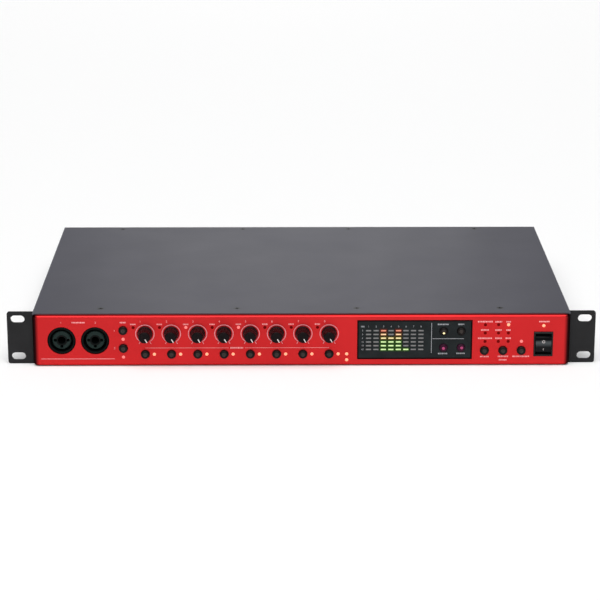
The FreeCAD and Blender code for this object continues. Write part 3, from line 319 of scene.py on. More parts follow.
halos = {
    "red": lens("meter_halo_red", (0.045, 0.006, 0.004), (1.0, 0.10, 0.04), 0.012, specular=0.1),
    "orange": lens("meter_halo_orange", (0.040, 0.016, 0.003), (1.0, 0.35, 0.05), 0.012, specular=0.1),
    "yellow": lens("meter_halo_yellow", (0.030, 0.026, 0.003), (0.9, 0.6, 0.05), 0.010, specular=0.1),
    "green": lens("meter_halo_green", (0.010, 0.034, 0.004), (0.25, 1.0, 0.05), 0.014, specular=0.1),
}


# ---- making pieces ------------------------------------------------------------------------
def piece(name, shape, surface, body=CHASSIS, crease=35):
    """A mesh object from a bmesh, smooth except at creases, that rides on a body.

    It has one finish, or a list of them for the faces' material indices."""
    bmesh.ops.recalc_face_normals(shape, faces=shape.faces)
    mesh = bpy.data.meshes.new(name)
    shape.to_mesh(mesh)
    shape.free()
    mesh.shade_smooth()
    mesh.set_sharp_from_angle(angle=math.radians(crease))
    for each in (surface if isinstance(surface, list) else [surface]):
        mesh.materials.append(each.material)
    obj = bpy.data.objects.new(name, mesh)
    scene.collection.objects.link(obj)
    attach(obj, body)
    return obj


def add_slab(shape, x, z, width, height, y_front, y_back, turn=0.0, pivot=None):
    """A thin plate facing the front, added to a bmesh; turn rolls it about its middle or a pivot."""
    corners = []
    for y in (y_front, y_back):
        for sx, sz in ((-1, -1), (1, -1), (1, 1), (-1, 1)):
            corners.append(Vector((x + sx * width / 2, y, z + sz * height / 2)))
    if turn:
        about = Vector(pivot) if pivot else Vector((x, 0, z))
        spin = Matrix.Translation(about) @ Matrix.Rotation(turn, 4, "Y") @ Matrix.Translation(-about)
        corners = [spin @ c for c in corners]
    verts = [shape.verts.new(c) for c in corners]
    for loop in ((0, 1, 2, 3), (7, 6, 5, 4), (0, 4, 5, 1), (1, 5, 6, 2), (2, 6, 7, 3), (3, 7, 4, 0)):
        shape.faces.new([verts[i] for i in loop])


def add_lathe(shape, x, z, profile, segments=48, flute=None):
    """A body turned about a front-to-back line, from (radius, y) points; flute cuts grip grooves."""
    rings = []
    for index, (r, y) in enumerate(profile):
        if r == 0:
            rings.append([shape.verts.new((x, y, z))])
            continue
        ring = []
        for i in range(segments):
            angle = 2 * math.pi * i / segments
            cut = flute(index, angle) if flute else 0
            out = r - cut
            ring.append(shape.verts.new((x + out * math.cos(angle), y, z + out * math.sin(angle))))
        rings.append(ring)
    for first, second in zip(rings, rings[1:]):
        for i in range(segments):
            j = (i + 1) % segments
            loop = [first[i % len(first)], first[j % len(first)], second[j % len(second)],
                    second[i % len(second)]]
            unique = list(dict.fromkeys(loop))
            if len(unique) > 2:
                shape.faces.new(unique)


def add_arc(shape, x, z, radius, width, start, end, y_front, y_back, steps=48):
    """A flat printed arc about (x, z), from one angle to another."""
    rows = []
    for i in range(steps + 1):
        angle = start + (end - start) * i / steps
        row = []
        for r in (radius - width / 2, radius + width / 2):
            for y in (y_front, y_back):
                row.append(shape.verts.new((x + r * math.cos(angle), y, z + r * math.sin(angle))))
        rows.append(row)
    for a, b in zip(rows, rows[1:]):
        for p, q in ((0, 2), (2, 3), (3, 1), (1, 0)):
            shape.faces.new((a[p], a[q], b[q], b[p]))
    for row in (rows[0], rows[-1]):
        shape.faces.new((row[0], row[2], row[3], row[1]))


SIZE_PER_HEIGHT = 1.4        # a font's size over the height of its figures


def add_figure(shape, text, x, z, height, y_front, y_back, facing_back=False):
    """A printed number, centred on (x, z)."""
    curve = bpy.data.curves.new("figure", "FONT")
    curve.body = text
    curve.align_x = "CENTER"
    curve.align_y = "CENTER"
    curve.size = height * SIZE_PER_HEIGHT
    curve.extrude = abs(y_back - y_front) / 2
    holder = bpy.data.objects.new("figure", curve)
    scene.collection.objects.link(holder)
    bpy.context.view_layer.update()
    mesh = bpy.data.meshes.new_from_object(holder.evaluated_get(bpy.context.evaluated_depsgraph_get()))
    stand = Matrix.Translation((x, (y_front + y_back) / 2, z)) @ Matrix.Rotation(math.pi / 2, 4, "X")
    if facing_back:
        stand = stand @ Matrix.Rotation(math.pi, 4, "Y")
    mesh.transform(stand)
    shape.from_mesh(mesh)
    bpy.data.meshes.remove(mesh)
    bpy.data.objects.remove(holder)
    bpy.data.curves.remove(curve)


# the gap and the least and most of a printed word's blocks, as shares of its height
WORD_GAP = 0.28
BLOCK_WIDTHS = (0.5, 0.95)
BLOCK_HEIGHTS = (0.82, 1.0)


def add_word(shape, x, z, width, height, y_front, y_back, seed):
    """A printed word, as a row of small plain blocks of uneven width with gaps between them."""
    chance = random.Random(seed)
    gap = height * WORD_GAP
    widths = []
    while sum(widths) + gap * max(0, len(widths) - 1) < width:
        widths.append(height * chance.uniform(*BLOCK_WIDTHS))
    scale = (width - gap * (len(widths) - 1)) / sum(widths)
    left = x - width / 2
    for w in widths:
        tall = height * chance.uniform(*BLOCK_HEIGHTS)
        add_slab(shape, left + w * scale / 2, z, w * scale, tall, y_front, y_back)
        left += w * scale + gap


# ---- carried-over CAD nodes ---------------------------------------------------------------
WELD_DISTANCE = 0.000002
SHARP_ANGLE = math.radians(40)


def finish_node(name, surface, edge=0.00015, segments=2):
    """Give a CAD node its finish, and soften its sharp edges."""
    obj = frame["nodes"][name]
    obj.data.materials.clear()
    obj.data.materials.append(surface.material)
    if edge:
        weld = obj.modifiers.new("weld", "WELD")
        weld.merge_threshold = WELD_DISTANCE
        bevel = obj.modifiers.new("soft_edges", "BEVEL")
        bevel.width = edge
        bevel.segments = segments
        bevel.limit_method = "ANGLE"
        bevel.angle_limit = SHARP_ANGLE
        bevel.harden_normals = True
    return obj


finish_node("rack_panel", ear_black, 0.0003)
finish_node("front_fascia", red_paint, 0.00015)
finish_node("top_cover", cover_grey, 0)
finish_node("base_tray", cover_grey, 0.0001)
finish_node("rear_panel", rear_black, 0.0002)
finish_node("case_screws", blackened, 0.0001)
finish_node("meter_window", smoked, 0.00015)
finish_node("meter_display", board_green, 0)
finish_node("power_switch_housing", switch_plastic, 0.0001)
for node in ("optical_ports", "midi_sockets", "mains_inlet", "rear_line_jacks"):
    finish_node(node, jack_plastic, 0.0001)
for node in ("coaxial_sockets", "computer_port", "gain_potentiometers"):
    finish_node(node, nickel, 0.0001)
for node in ("control_board", "main_board", "power_supply"):
    finish_node(node, board_green, 0)
finish_node("push_switches", jack_plastic, 0)
finish_node("board_spacers", nickel, 0)
finish_node("ribbon_cable", ribbon_grey, 0)
for name in KNOBS:
    finish_node(name.replace("knob", "shaft"), turned_metal, 0)

# the insert of a combination jack is a lighter, greener grey than its shell and the collar of its bore
INSERT_R = 8.3 * MM
INSERT_GREY = (0.012, 0.022, 0.020)
COLLAR_R = 4.6 * MM
COLLAR_BLACK = (0.003, 0.004, 0.004)


def jack_surface(name, middle, pitch=None):
    """Black nylon with a lighter insert, and a black collar round the bore."""
    surface = Surface(name, (0.003, 0.004, 0.004), 0.36, specular=0.06)
    surface.tint(0.2, 0.004).wear(0.08, 0.003).grain(0.0003, 0.000006)
    surface.discs(middle.x, middle.z, INSERT_R, INSERT_GREY, pitch)
    return surface.discs(middle.x, middle.z, COLLAR_R, COLLAR_BLACK, pitch)


for name in ("combo_jack_1", "combo_jack_2"):
    finish_node(name, jack_surface(name + "_nylon", centre(name)), 0.00015)
REAR_COMBO_HALF = 12.5 * MM
REAR_COMBO_PITCH = 26.5 * MM
rear_low, rear_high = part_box("rear_combo_jacks")
rear_first = Vector((rear_low.x + REAR_COMBO_HALF, 0, (rear_low.z + rear_high.z) / 2))
finish_node("rear_combo_jacks", jack_surface("rear_combo_nylon", rear_first, REAR_COMBO_PITCH),
            0.00015)


# ---- knobs --------------------------------------------------------------------------------
FLUTES = 18
FLUTE_DEPTH = 0.42 * MM
POINTER_TURN = math.radians(60)
POINTER_WIDTH = 0.75 * MM
POINTER_LENGTH = 3.0 * MM
POINTER_OUT = 2.9 * MM
POINTER_DEPTH = 0.35 * MM
POINTER_LIP_OUT = 4.5 * MM
POINTER_LIP = 0.34 * MM
POINTER_LIP_DEPTHS = (0.1 * MM, 1.5 * MM)
KNOB_TIP = front_of(KNOBS[0])
KNOB_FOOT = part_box(KNOBS[0])[1].y


def knob_profile():
    """(radius, y) points from the foot of the skirt to the middle of the cap.

    Each stretch is drawn as (radius, distance out from the foot), in millimetres."""
    length = (KNOB_FOOT - KNOB_TIP) / MM
    skirt = [(3.2, 0), (6.05, 0), (6.27, 0.15), (6.30, 0.35), (6.30, 0.75), (6.18, 0.95),
             (5.96, 1.1), (5.88, 1.4)]
    wall = [(5.86 - 1.16 * t, 1.6 + (length - 2.4) * t) for t in [i / 10 for i in range(11)]]
    cap = [(4.64, length - 0.45), (4.52, length - 0.2), (4.30, length - 0.05), (4.02, length),
           (3.7, length - 0.03), (2.0, length - 0.10), (0, length - 0.12)]
    return [(r * MM, KNOB_FOOT - out * MM) for r, out in skirt + wall + cap]


WALL_RINGS = range(9, 19)        # the rings of the profile that carry the grip grooves


def knob_flute(index, angle):
    """How deep the grip grooves are at one ring and angle of a knob."""
    if index not in WALL_RINGS:
        return 0
    wave = (1 + math.cos(FLUTES * angle)) / 2
    ends = min(1, (index - WALL_RINGS[0] + 1) / 2, (WALL_RINGS[-1] - index + 1) / 2)
    return FLUTE_DEPTH * wave ** 2 * ends


for name, middle in zip(KNOBS, KNOB_CENTRES):
    shape = bmesh.new()
    add_lathe(shape, middle.x, middle.z, knob_profile(), FLUTES * 10, knob_flute)
    knob = piece(name + "_cap", shape, knob_plastic, name, 30)
    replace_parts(knob, name)
    shape = bmesh.new()
    axis = (middle.x, 0, middle.z)
    add_slab(shape, middle.x + POINTER_OUT, middle.z, POINTER_LENGTH, POINTER_WIDTH,
             KNOB_TIP, KNOB_TIP + POINTER_DEPTH, POINTER_TURN, axis)
    lip_front, lip_back = [KNOB_TIP + depth for depth in POINTER_LIP_DEPTHS]
    add_slab(shape, middle.x + POINTER_LIP_OUT, middle.z, POINTER_LIP, POINTER_WIDTH,
             lip_front, lip_back, POINTER_TURN, axis)
    piece(name + "_pointer", shape, print_white, name)


# ---- buttons ------------------------------------------------------------------------------
def button_profile(radius, tip, back):
    """A round cap with a rolled edge and a shallow dish, from the back to the middle of the face."""
    depth = back - tip
    edge = [(radius, depth), (radius, 0.72 * MM), (radius - 0.08 * MM, 0.42 * MM),
            (radius - 0.24 * MM, 0.18 * MM), (radius - 0.5 * MM, 0.04 * MM), (radius - 0.8 * MM, 0)]
    dish = [(radius * 0.6, 0.05 * MM), (radius * 0.5, 0.22 * MM), (radius * 0.35, 0.38 * MM),
            (radius * 0.18, 0.45 * MM), (0, 0.47 * MM)]
    return [(r, tip + d) for r, d in edge + dish]


CAP_COLLAR = 1.1 * MM
CAP_BACK = 8.0 * MM
DISH_SHARE = 0.5
LIT_CAPS = ("monitor_button_3", "monitor_button_4")
for name in BUTTONS:
    low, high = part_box(name)
    middle = BUTTON_CENTRES[name]
    radius = (high.x - low.x) / 2 - CAP_COLLAR
    shape = bmesh.new()
    add_lathe(shape, middle.x, middle.z, button_profile(radius, low.y, low.y + CAP_BACK), 56)
    # faces in the middle of the dish take the painted highlight
    for face in shape.faces:
        away = face.calc_center_median() - middle
        face.material_index = int(math.hypot(away.x, away.z) < radius * DISH_SHARE)
    finishes = [magenta_cap, magenta_cap] if name in LIT_CAPS else [button_plastic, button_dish_highlight]
    cap = piece(name + "_cap", shape, finishes, name)
    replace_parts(cap, name)


def button_lens(name, surface, dx, dz, radius):
    """A lit spot in a window button's face."""
    middle = BUTTON_CENTRES[name]
    tip = front_of(name)
    shape = bmesh.new()
    add_lathe(shape, middle.x + dx, middle.z + dz,
              [(radius, tip + 0.4 * MM), (radius, tip + 0.06 * MM), (radius * 0.8, tip + 0.02 * MM),
               (0, tip)], 32)
    piece(name + "_lens", shape, surface, name)


BUTTON_LENSES = [
    ("monitor_button_1", button_amber, 0.2, -1.7, 0.95),
    ("monitor_button_3", button_pink, 0.0, -0.3, 1.2),
    ("monitor_button_4", button_pink, 0.5, 0.1, 1.2),
]        # (button, finish, right, up, radius) of each lit spot, in millimetres
for name, surface, right, up, radius in BUTTON_LENSES:
    button_lens(name, surface, right * MM, up * MM, radius * MM)


# ---- indicator lights ---------------------------------------------------------------------
LIGHT_R = 1.1 * MM
LIGHT_RIM_R = 1.3 * MM
CHANNEL_Z = BUTTON_CENTRES["channel_button_1"].z
STATUS_X = [x * MM for x in (150.2, 161.0, 169.1)]
STATUS_Z = [z * MM for z in (35.1, 28.0, 20.8)]
LIT_STATUS = (STATUS_X[2], STATUS_Z[0])
CHANNEL_LIGHT_RIGHT = 7.4 * MM
LINK_LIGHT_RIGHT = 14.4 * MM
LINK_LIGHT_PITCH = 5.1 * MM
POWER_LIGHT_DOWN = 0.9 * MM
CLIP_LIGHT_LEFT = 9.5 * MM
CLIP_LIGHT_UP = 5.4 * MM
LIT_CLIPS = (2, 4)        # counted from 0
INSTRUMENT_LIGHT_DOWN = 7.5 * MM


def light(shape, x, z):
    """One domed lens end, flush with the fascia but for its dome."""
    tip = front_of("indicator_lights")
    rim = FASCIA_Y - 0.02 * MM
    add_lathe(shape, x, z, [(LIGHT_R, tip + 3 * MM), (LIGHT_R, rim), (LIGHT_RIM_R, rim),
                            (LIGHT_RIM_R * 0.93, tip + 0.12 * MM), (LIGHT_RIM_R * 0.75, tip + 0.05 * MM),
                            (LIGHT_RIM_R * 0.4, tip + 0.01 * MM), (0, tip)], 28)


link_x = KNOB_CENTRES[-1].x + LINK_LIGHT_RIGHT
amber_places = [(k.x + CHANNEL_LIGHT_RIGHT, CHANNEL_Z) for k in KNOB_CENTRES]
amber_places += [(link_x, CHANNEL_Z), (link_x, CHANNEL_Z - LINK_LIGHT_PITCH)]
amber_places += [LIT_STATUS, (SWITCH.x, STATUS_Z[0] - POWER_LIGHT_DOWN)]
clip_places = [(k.x - CLIP_LIGHT_LEFT, k.z + CLIP_LIGHT_UP) for k in KNOB_CENTRES]
pink_places = [clip_places[i] for i in LIT_CLIPS]
pink_places += [(BUTTON_CENTRES[name].x, BUTTON_CENTRES[name].z - INSTRUMENT_LIGHT_DOWN)
                for name in numbered("instrument_button", 2)]
pink_places += [(BUTTON_CENTRES["output_button_3"].x, STATUS_Z[2])]
off_places = [place for i, place in enumerate(clip_places) if i not in LIT_CLIPS]
off_places += [(x, z) for x in STATUS_X for z in STATUS_Z if (x, z) != LIT_STATUS]
for name, places, surface in (("lights_amber", amber_places, amber_lit),
                              ("lights_pink", pink_places, pink_lit),
                              ("lights_off", off_places, red_off)):
    shape = bmesh.new()
    for x, z in places:
        light(shape, x, z)
    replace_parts(piece(name, shape, surface, CHASSIS), "indicator_lights")


# ---- the meter ----------------------------------------------------------------------------
COLUMN_PITCH = 6.12 * MM
ROW_PITCH = 3.22 * MM
COLUMN_X = [54.8 * MM + COLUMN_PITCH * i for i in range(8)]
ROW_Z = [30.1 * MM - ROW_PITCH * i for i in range(6)]
ROW_COLOURS = ["red", "orange", "yellow", "green", "green", "green"]
FIRST_LIT_ROW = {2: 0, 3: 2, 4: 0, 5: 5}        # by column; the other columns are dark
BAR_SIZE = (4.2 * MM, 1.15 * MM)
BAR_FRONT = WINDOW_Y - 0.05 * MM
HALO_FRONT = WINDOW_Y - 0.02 * MM
BAR_BACK = WINDOW_Y + 0.2 * MM
bars = {colour: bmesh.new() for colour in bar_lenses}
for column, x in enumerate(COLUMN_X):
    for row, z in enumerate(ROW_Z):
        lit = row >= FIRST_LIT_ROW.get(column, len(ROW_Z))
        add_slab(bars[ROW_COLOURS[row] if lit else "off"], x, z, *BAR_SIZE, BAR_FRONT, BAR_BACK)
for colour, shape in bars.items():
    piece("meter_bars_" + colour, shape, bar_lenses[colour], CHASSIS)
glows = {colour: bmesh.new() for colour in halos}
for column, first in FIRST_LIT_ROW.items():
    for row in range(first, len(ROW_Z)):
        add_slab(glows[ROW_COLOURS[row]], COLUMN_X[column], ROW_Z[row], COLUMN_PITCH, ROW_PITCH,
                 HALO_FRONT, BAR_BACK)
for colour, shape in glows.items():
    piece("meter_halo_" + colour, shape, halos[colour], CHASSIS)


# ---- printing on the window ---------------------------------------------------------------
COLUMN_NUMBER_Z = 33.6 * MM
COLUMN_NUMBER_HEIGHT = 1.5 * MM
SCALE_X = 49.9 * MM
SCALE_NUMBERS = ("0", "3", "6", "12", "18", "42")
SCALE_HEIGHT = 1.3 * MM
DIVIDER = 0.4 * MM
DIVIDER_LENGTH = 25.8 * MM
UPRIGHT_DIVIDER = (106.3 * MM, 23.7 * MM)
LEVEL_DIVIDER = (120.0 * MM, 23.15 * MM)
SCALE_WORD_X = 50.0 * MM
SCALE_WORD_WIDTH = 2.6 * MM
SCALE_WORD_SEED = 1
WINDOW_WORD_HEIGHT = 1.25 * MM
WINDOW_WORDS = [(115.7, 35.4, 8.8), (130.4, 35.4, 5.0), (115.6, 10.4, 7.6), (130.4, 10.5, 6.8)]
shape = bmesh.new()
for column, x in enumerate(COLUMN_X):
    add_figure(shape, str(column + 1), x, COLUMN_NUMBER_Z, COLUMN_NUMBER_HEIGHT, BAR_FRONT, BAR_BACK)
for text, z in zip(SCALE_NUMBERS, ROW_Z):
    add_figure(shape, text, SCALE_X, z, SCALE_HEIGHT, BAR_FRONT, BAR_BACK)
add_word(shape, SCALE_WORD_X, COLUMN_NUMBER_Z, SCALE_WORD_WIDTH, SCALE_HEIGHT, BAR_FRONT, BAR_BACK,
         SCALE_WORD_SEED)
add_slab(shape, *UPRIGHT_DIVIDER, DIVIDER, DIVIDER_LENGTH, BAR_FRONT, BAR_BACK)
add_slab(shape, *LEVEL_DIVIDER, DIVIDER_LENGTH, DIVIDER, BAR_FRONT, BAR_BACK)
for seed, (x, z, width) in enumerate(WINDOW_WORDS, 20):
    add_word(shape, x * MM, z * MM, width * MM, WINDOW_WORD_HEIGHT, BAR_FRONT, BAR_BACK, seed)
piece("window_legends", shape, print_grey, CHASSIS)

# a black frame of painted shade, set in from the edges of the window, which the fascia overlaps; it
# stands for the shade at the window's edges
BORDER = 1.1 * MM
BORDER_IN_SIDE = 1.8 * MM
BORDER_IN_BOTTOM = 1.7 * MM
BORDER_IN_TOP = 1.0 * MM
window_low, window_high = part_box("meter_window")
border_left = window_low.x + BORDER_IN_SIDE
border_right = window_high.x - BORDER_IN_SIDE
border_bottom = window_low.z + BORDER_IN_BOTTOM
border_top = window_high.z - BORDER_IN_TOP
shape = bmesh.new()
for z in (border_bottom + BORDER / 2, border_top - BORDER / 2):
    add_slab(shape, (border_left + border_right) / 2, z, border_right - border_left, BORDER,
             BAR_FRONT, BAR_BACK)
for x in (border_left + BORDER / 2, border_right - BORDER / 2):
    add_slab(shape, x, (border_bottom + border_top) / 2, BORDER,
             border_top - border_bottom - 2 * BORDER, BAR_FRONT, BAR_BACK)
piece("window_edge_shade_frame", shape, window_edge_shade, CHASSIS)


# ---- printing on the fascia ---------------------------------------------------------------
PRINT_FRONT = FASCIA_Y - 0.03 * MM
PRINT_BACK = FASCIA_Y + 0.10 * MM
SCALE_GAP = math.radians(60)        # left open at the bottom of each knob's ring
SCALE_START = -math.pi / 2 + SCALE_GAP / 2
SCALE_END = -math.pi / 2 + 2 * math.pi - SCALE_GAP / 2
RING_R = 7.55 * MM
RING_WIDTH = 0.62 * MM
TICK_R = 8.8 * MM
TICK_SIZE = (2.3 * MM, 0.55 * MM)
KNOB_NUMBER_LEFT = 3.7 * MM
KNOB_NUMBER_Z = 38.2 * MM
KNOB_NUMBER_HEIGHT = 1.7 * MM
CLIP_WORD_LEFT = 9.6 * MM
CLIP_WORD_Z = 35.9 * MM
CLIP_WORD_SIZE = (4.2 * MM, 1.2 * MM)
shape = bmesh.new()
ring_shape = bmesh.new()
for number, middle in enumerate(KNOB_CENTRES, 1):
    add_arc(ring_shape, middle.x, middle.z, RING_R, RING_WIDTH, SCALE_START, SCALE_END,
            PRINT_FRONT, PRINT_BACK)
    for angle in (SCALE_START, SCALE_END):
        add_slab(ring_shape, middle.x + TICK_R, middle.z, *TICK_SIZE, PRINT_FRONT, PRINT_BACK,
                 -angle, (middle.x, 0, middle.z))
    add_figure(shape, str(number), middle.x - KNOB_NUMBER_LEFT, KNOB_NUMBER_Z, KNOB_NUMBER_HEIGHT,
               PRINT_FRONT, PRINT_BACK)
    add_word(shape, middle.x - CLIP_WORD_LEFT, CLIP_WORD_Z, *CLIP_WORD_SIZE, PRINT_FRONT, PRINT_BACK,
             40 + number)
piece("knob_scales", ring_shape, scale_pink, CHASSIS)

# a line under the knobs, with a gap for a word, and a plain line under the front jacks
KNOB_LINE_Z = 15.7 * MM
KNOB_LINE_GAP = (-59.5 * MM, -46.5 * MM)
KNOB_LINE_WIDTH = 0.28 * MM
JACK_LINE = (-183.0 * MM, 6.4 * MM, 60 * MM, 0.4 * MM)        # x, z, length and width
knob_lines = ((KNOB_CENTRES[0].x, KNOB_LINE_GAP[0]), (KNOB_LINE_GAP[1], KNOB_CENTRES[-1].x))
for left, right in knob_lines:
    add_slab(shape, (left + right) / 2, KNOB_LINE_Z, right - left, KNOB_LINE_WIDTH,
             PRINT_FRONT, PRINT_BACK)
add_slab(shape, *JACK_LINE, PRINT_FRONT, PRINT_BACK)
FASCIA_WORD_HEIGHT = 1.3 * MM
FASCIA_WORDS = [
    (-182.2, 37.5, 10.5), (-145.9, 37.5, 4.6), (-53.0, 15.7, 10.5), (150.0, 37.7, 12.0),
    (161.0, 37.6, 5.4), (149.8, 30.6, 6.4), (160.9, 30.5, 5.0), (169.1, 30.5, 3.6),
    (150.1, 23.5, 11.4), (161.2, 23.5, 5.4), (169.1, 23.5, 4.2), (149.9, 7.8, 7.0),
    (165.2, 7.9, 8.4), (165.0, 4.9, 6.2), (179.8, 7.9, 13.6), (198.2, 37.7, 8.4),
    (169.1, 37.6, 3.6),
]        # (x, z, width) of each word, in millimetres
for seed, (x, z, width) in enumerate(FASCIA_WORDS, 60):
    add_word(shape, x * MM, z * MM, width * MM, FASCIA_WORD_HEIGHT, PRINT_FRONT, PRINT_BACK, seed)
FASCIA_NUMBER_HEIGHT = 1.6 * MM
FASCIA_NUMBERS = [("1", -196.2, 37.5), ("2", -168.2, 37.4), ("1", -152.9, 30.4), ("2", -152.9, 15.5)]
for text, x, z in FASCIA_NUMBERS:
    add_figure(shape, text, x * MM, z * MM, FASCIA_NUMBER_HEIGHT, PRINT_FRONT, PRINT_BACK)
piece("fascia_legends", shape, print_pink, CHASSIS)


# ---- printing on the rear panel -----------------------------------------------------------
REAR_PRINT = (REAR_Y + 0.03 * MM, REAR_Y - 0.10 * MM)
FIRST_REAR_INPUT = 3
REAR_COMBOS = 6
REAR_COMBO_NUMBER_Z = 37.4 * MM
REAR_COMBO_NUMBER_HEIGHT = 1.9 * MM
LINE_JACK_HALF = 7.0 * MM
LINE_JACK_PITCH = 15.5 * MM
LINE_JACK_COLUMNS = 5
LINE_NUMBER_Z = (38.9 * MM, 22.7 * MM)
LINE_NUMBER_HEIGHT = 1.5 * MM
REAR_WORD_HEIGHT = 1.4 * MM
REAR_WORDS = [
    (43.5, 38.9, 12.0), (43.5, 22.7, 12.0), (67.0, 38.9, 6.0), (67.0, 22.7, 6.0), (82.5, 38.9, 7.0),
    (102.0, 33.4, 6.0), (122.5, 33.4, 8.0), (142.0, 30.6, 8.0), (185.0, 37.4, 14.0), (185.0, 6.6, 22.0),
]        # (x, z, width) of each word, in millimetres
REAR_GROUPS = [(-213, -54), (-52, 27), (29, 91), (93, 150)]        # (left, right), in millimetres
REAR_LINE_Z = 41.4 * MM
REAR_LINE_WIDTH = 0.3 * MM
shape = bmesh.new()
for i in range(REAR_COMBOS):
    add_figure(shape, str(FIRST_REAR_INPUT + i), rear_first.x + REAR_COMBO_PITCH * i,
               REAR_COMBO_NUMBER_Z, REAR_COMBO_NUMBER_HEIGHT, *REAR_PRINT, facing_back=True)
line_first_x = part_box("rear_line_jacks")[0].x + LINE_JACK_HALF
for row, z in enumerate(LINE_NUMBER_Z):
    for column in range(LINE_JACK_COLUMNS):
        number = 1 + column + LINE_JACK_COLUMNS * row
        add_figure(shape, str(number), line_first_x + LINE_JACK_PITCH * column, z, LINE_NUMBER_HEIGHT,
                   *REAR_PRINT, facing_back=True)
for seed, (x, z, width) in enumerate(REAR_WORDS, 90):
    add_word(shape, x * MM, z * MM, width * MM, REAR_WORD_HEIGHT, *REAR_PRINT, seed)
for left, right in REAR_GROUPS:
    add_slab(shape, (left + right) / 2 * MM, REAR_LINE_Z, (right - left) * MM, REAR_LINE_WIDTH,
             *REAR_PRINT)
piece("rear_legends", shape, print_grey, CHASSIS)


# ---- the rocker and its marks -------------------------------------------------------------
TILT_JOINT = next(j for j in frame["record"]["behaviour"]["joints"] if j["child"] == "power_rocker")
PIVOT = Vector(TILT_JOINT["pos_m"])
ROCKER_REST = math.radians(9)
FACE_SLOPE = math.radians(16.06)
MARK_OUT = 5.53 * MM
MARK_UP = 3.45 * MM
MARK_DEPTHS = (-0.03 * MM, 0.3 * MM)
OFF_MARK_R = 1.0 * MM
OFF_MARK_WIDTH = 0.35 * MM
ON_MARK_SIZE = (0.4 * MM, 2.2 * MM)
# painted light on the rocker: a grey painted highlight fades in upwards across the ridge, where the
# upper face catches the light, and above it a near-black painted shadow, where the top of the bezel
# shades it
RIDGE_PAINTED_HIGHLIGHT = (0.056, 0.063, 0.067)
RIDGE_HIGHLIGHT_FADE = (-2.0 * MM, 1.2 * MM)        # heights over the pivot, between which the grey painted highlight comes in
UPPER_PAINTED_SHADOW = (0.001, 0.0015, 0.002)
UPPER_SHADOW_FADE = (2.4 * MM, 3.8 * MM)
rocker_plastic = Surface("rocker_moulding_with_painted_light", (0.005, 0.006, 0.007), 0.34, specular=0.06)
rocker_plastic.tint(0.2, 0.004).wear(0.06, 0.003).grain(0.0005, 0.000002)
for (start, stop), colour in ((RIDGE_HIGHLIGHT_FADE, RIDGE_PAINTED_HIGHLIGHT), (UPPER_SHADOW_FADE, UPPER_PAINTED_SHADOW)):
    rocker_plastic.fade_up(PIVOT.z + start, PIVOT.z + stop, colour)
finish_node("power_rocker", rocker_plastic, 0.0002)


def rocker_mark(name, shape, side):
    """A moulded mark, drawn flat about the origin, set on the upper or lower face of the rocker."""
    stand = (Matrix.Translation(PIVOT) @ Matrix.Rotation(ROCKER_REST, 4, "X")
             @ Matrix.Translation((0, -MARK_OUT, side * MARK_UP))
             @ Matrix.Rotation(-side * FACE_SLOPE, 4, "X"))
    shape.transform(stand)
    piece(name, shape, print_white, "power_rocker")


shape = bmesh.new()
add_arc(shape, 0, 0, OFF_MARK_R, OFF_MARK_WIDTH, 0, 2 * math.pi, *MARK_DEPTHS)
rocker_mark("rocker_mark_off", shape, 1)
shape = bmesh.new()
add_slab(shape, 0, 0, *ON_MARK_SIZE, *MARK_DEPTHS)
rocker_mark("rocker_mark_on", shape, -1)


# ---- camera, floor and light --------------------------------------------------------------
CAMERA_RIGHT = -0.0118
CAMERA_IN_FRONT = 1.6885
CAMERA_UP = 0.5634
LOOKING_DOWN = math.radians(16.81)
LOOKING_RIGHT = math.radians(0.36)
SENSOR_MM = 36
LENS_MM = 129.5
SHIFT_UP = 0.8 / 600        # as a share of the image's width
camera_data = bpy.data.cameras.new("camera")
camera_data.sensor_width = SENSOR_MM
camera_data.lens = LENS_MM
camera_data.shift_y = SHIFT_UP
camera = bpy.data.objects.new("camera", camera_data)
scene.collection.objects.link(camera)
camera.location = (CAMERA_RIGHT, EAR_Y - CAMERA_IN_FRONT, CAMERA_UP)
camera.rotation_euler = (math.pi / 2 - LOOKING_DOWN, 0, -LOOKING_RIGHT)
scene.camera = camera

FLOOR_HALF = 15
FLOOR_GAP = 0.2 * MM
floor_shape = bmesh.new()
bmesh.ops.create_grid(floor_shape, x_segments=4, y_segments=4, size=FLOOR_HALF)
floor_mesh = bpy.data.meshes.new("floor")
floor_shape.to_mesh(floor_mesh)
floor_shape.free()
floor = bpy.data.objects.new("floor", floor_mesh)
floor_surface = Surface("pale_floor", (0.93, 0.93, 0.93), 0.8)
floor_mesh.materials.append(floor_surface.material)
scene.collection.objects.link(floor)
floor.location.z = -FLOOR_GAP


# where the surround's light fades by direction: start, stop, and the strength before and after
SIDE_FADE = (0.08, 0.55, 0.5, 0.12)
BACK_FADE = (-0.2, 0.6, 1.0, 0.5)


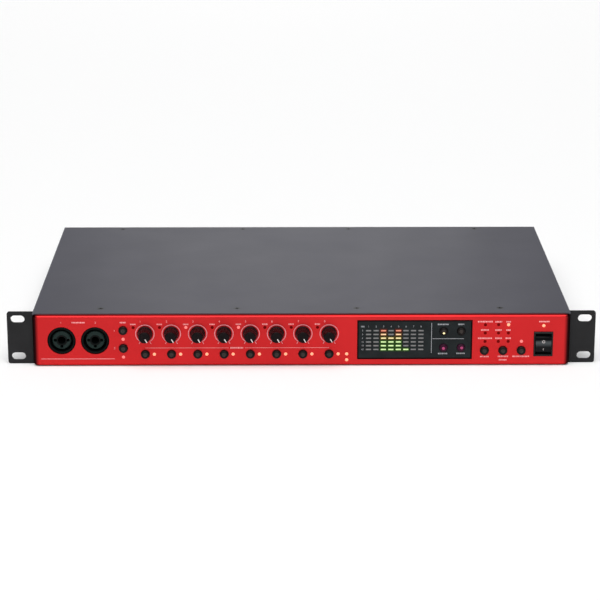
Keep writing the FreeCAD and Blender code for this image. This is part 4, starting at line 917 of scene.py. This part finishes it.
def gradient_world():
    """A pale surround, brighter in front and above than at the sides and behind."""
    world = bpy.data.worlds.new("studio")
    world.use_nodes = True
    nodes = world.node_tree.nodes
    links = world.node_tree.links
    place = nodes.new("ShaderNodeTexCoord")
    apart = nodes.new("ShaderNodeSeparateXYZ")
    links.new(place.outputs["Generated"], apart.inputs[0])

    def fade(value, start, stop, near, far):
        node = nodes.new("ShaderNodeMapRange")
        node.interpolation_type = "SMOOTHSTEP"
        for label, number in zip(("From Min", "From Max", "To Min", "To Max"), (start, stop, near, far)):
            node.inputs[label].default_value = number
        links.new(value, node.inputs["Value"])
        return node.outputs["Result"]

    sideways = nodes.new("ShaderNodeMath")
    sideways.operation = "ABSOLUTE"
    links.new(apart.outputs["X"], sideways.inputs[0])
    strength = nodes.new("ShaderNodeMath")
    strength.operation = "MULTIPLY"
    links.new(fade(sideways.outputs[0], *SIDE_FADE), strength.inputs[0])
    links.new(fade(apart.outputs["Y"], *BACK_FADE), strength.inputs[1])
    links.new(strength.outputs[0], nodes["Background"].inputs["Strength"])
    nodes["Background"].inputs["Color"].default_value = (1, 1, 1, 1)
    scene.world = world


def softbox(name, location, target, width, height, power):
    """A large rectangular area light aimed at a point."""
    data = bpy.data.lights.new(name, "AREA")
    data.shape = "RECTANGLE"
    data.size = width
    data.size_y = height
    data.energy = power
    lamp = bpy.data.objects.new(name, data)
    lamp.location = location
    lamp.rotation_euler = (Vector(target) - Vector(location)).to_track_quat("-Z", "Y").to_euler()
    scene.collection.objects.link(lamp)


def soft_sun(direction, strength, spread):
    """Even light over the whole floor, with soft shadows."""
    data = bpy.data.lights.new("soft_sun", "SUN")
    data.energy = strength
    data.angle = math.radians(spread)
    lamp = bpy.data.objects.new("soft_sun", data)
    lamp.rotation_euler = Vector(direction).to_track_quat("-Z", "Y").to_euler()
    scene.collection.objects.link(lamp)


gradient_world()
soft_sun((0.05, 0.5, -1), 2.9, 70)
softbox("front_softbox", (0.0, -2.2, 1.3), (0, 0, 0), 0.9, 0.7, 8)
softbox("back_softbox", (0.0, 3.0, 0.95), (0, 0, 0), 0.9, 1.0, 2.2)

scene.view_settings.view_transform = "Standard"
scene.view_settings.look = "None"
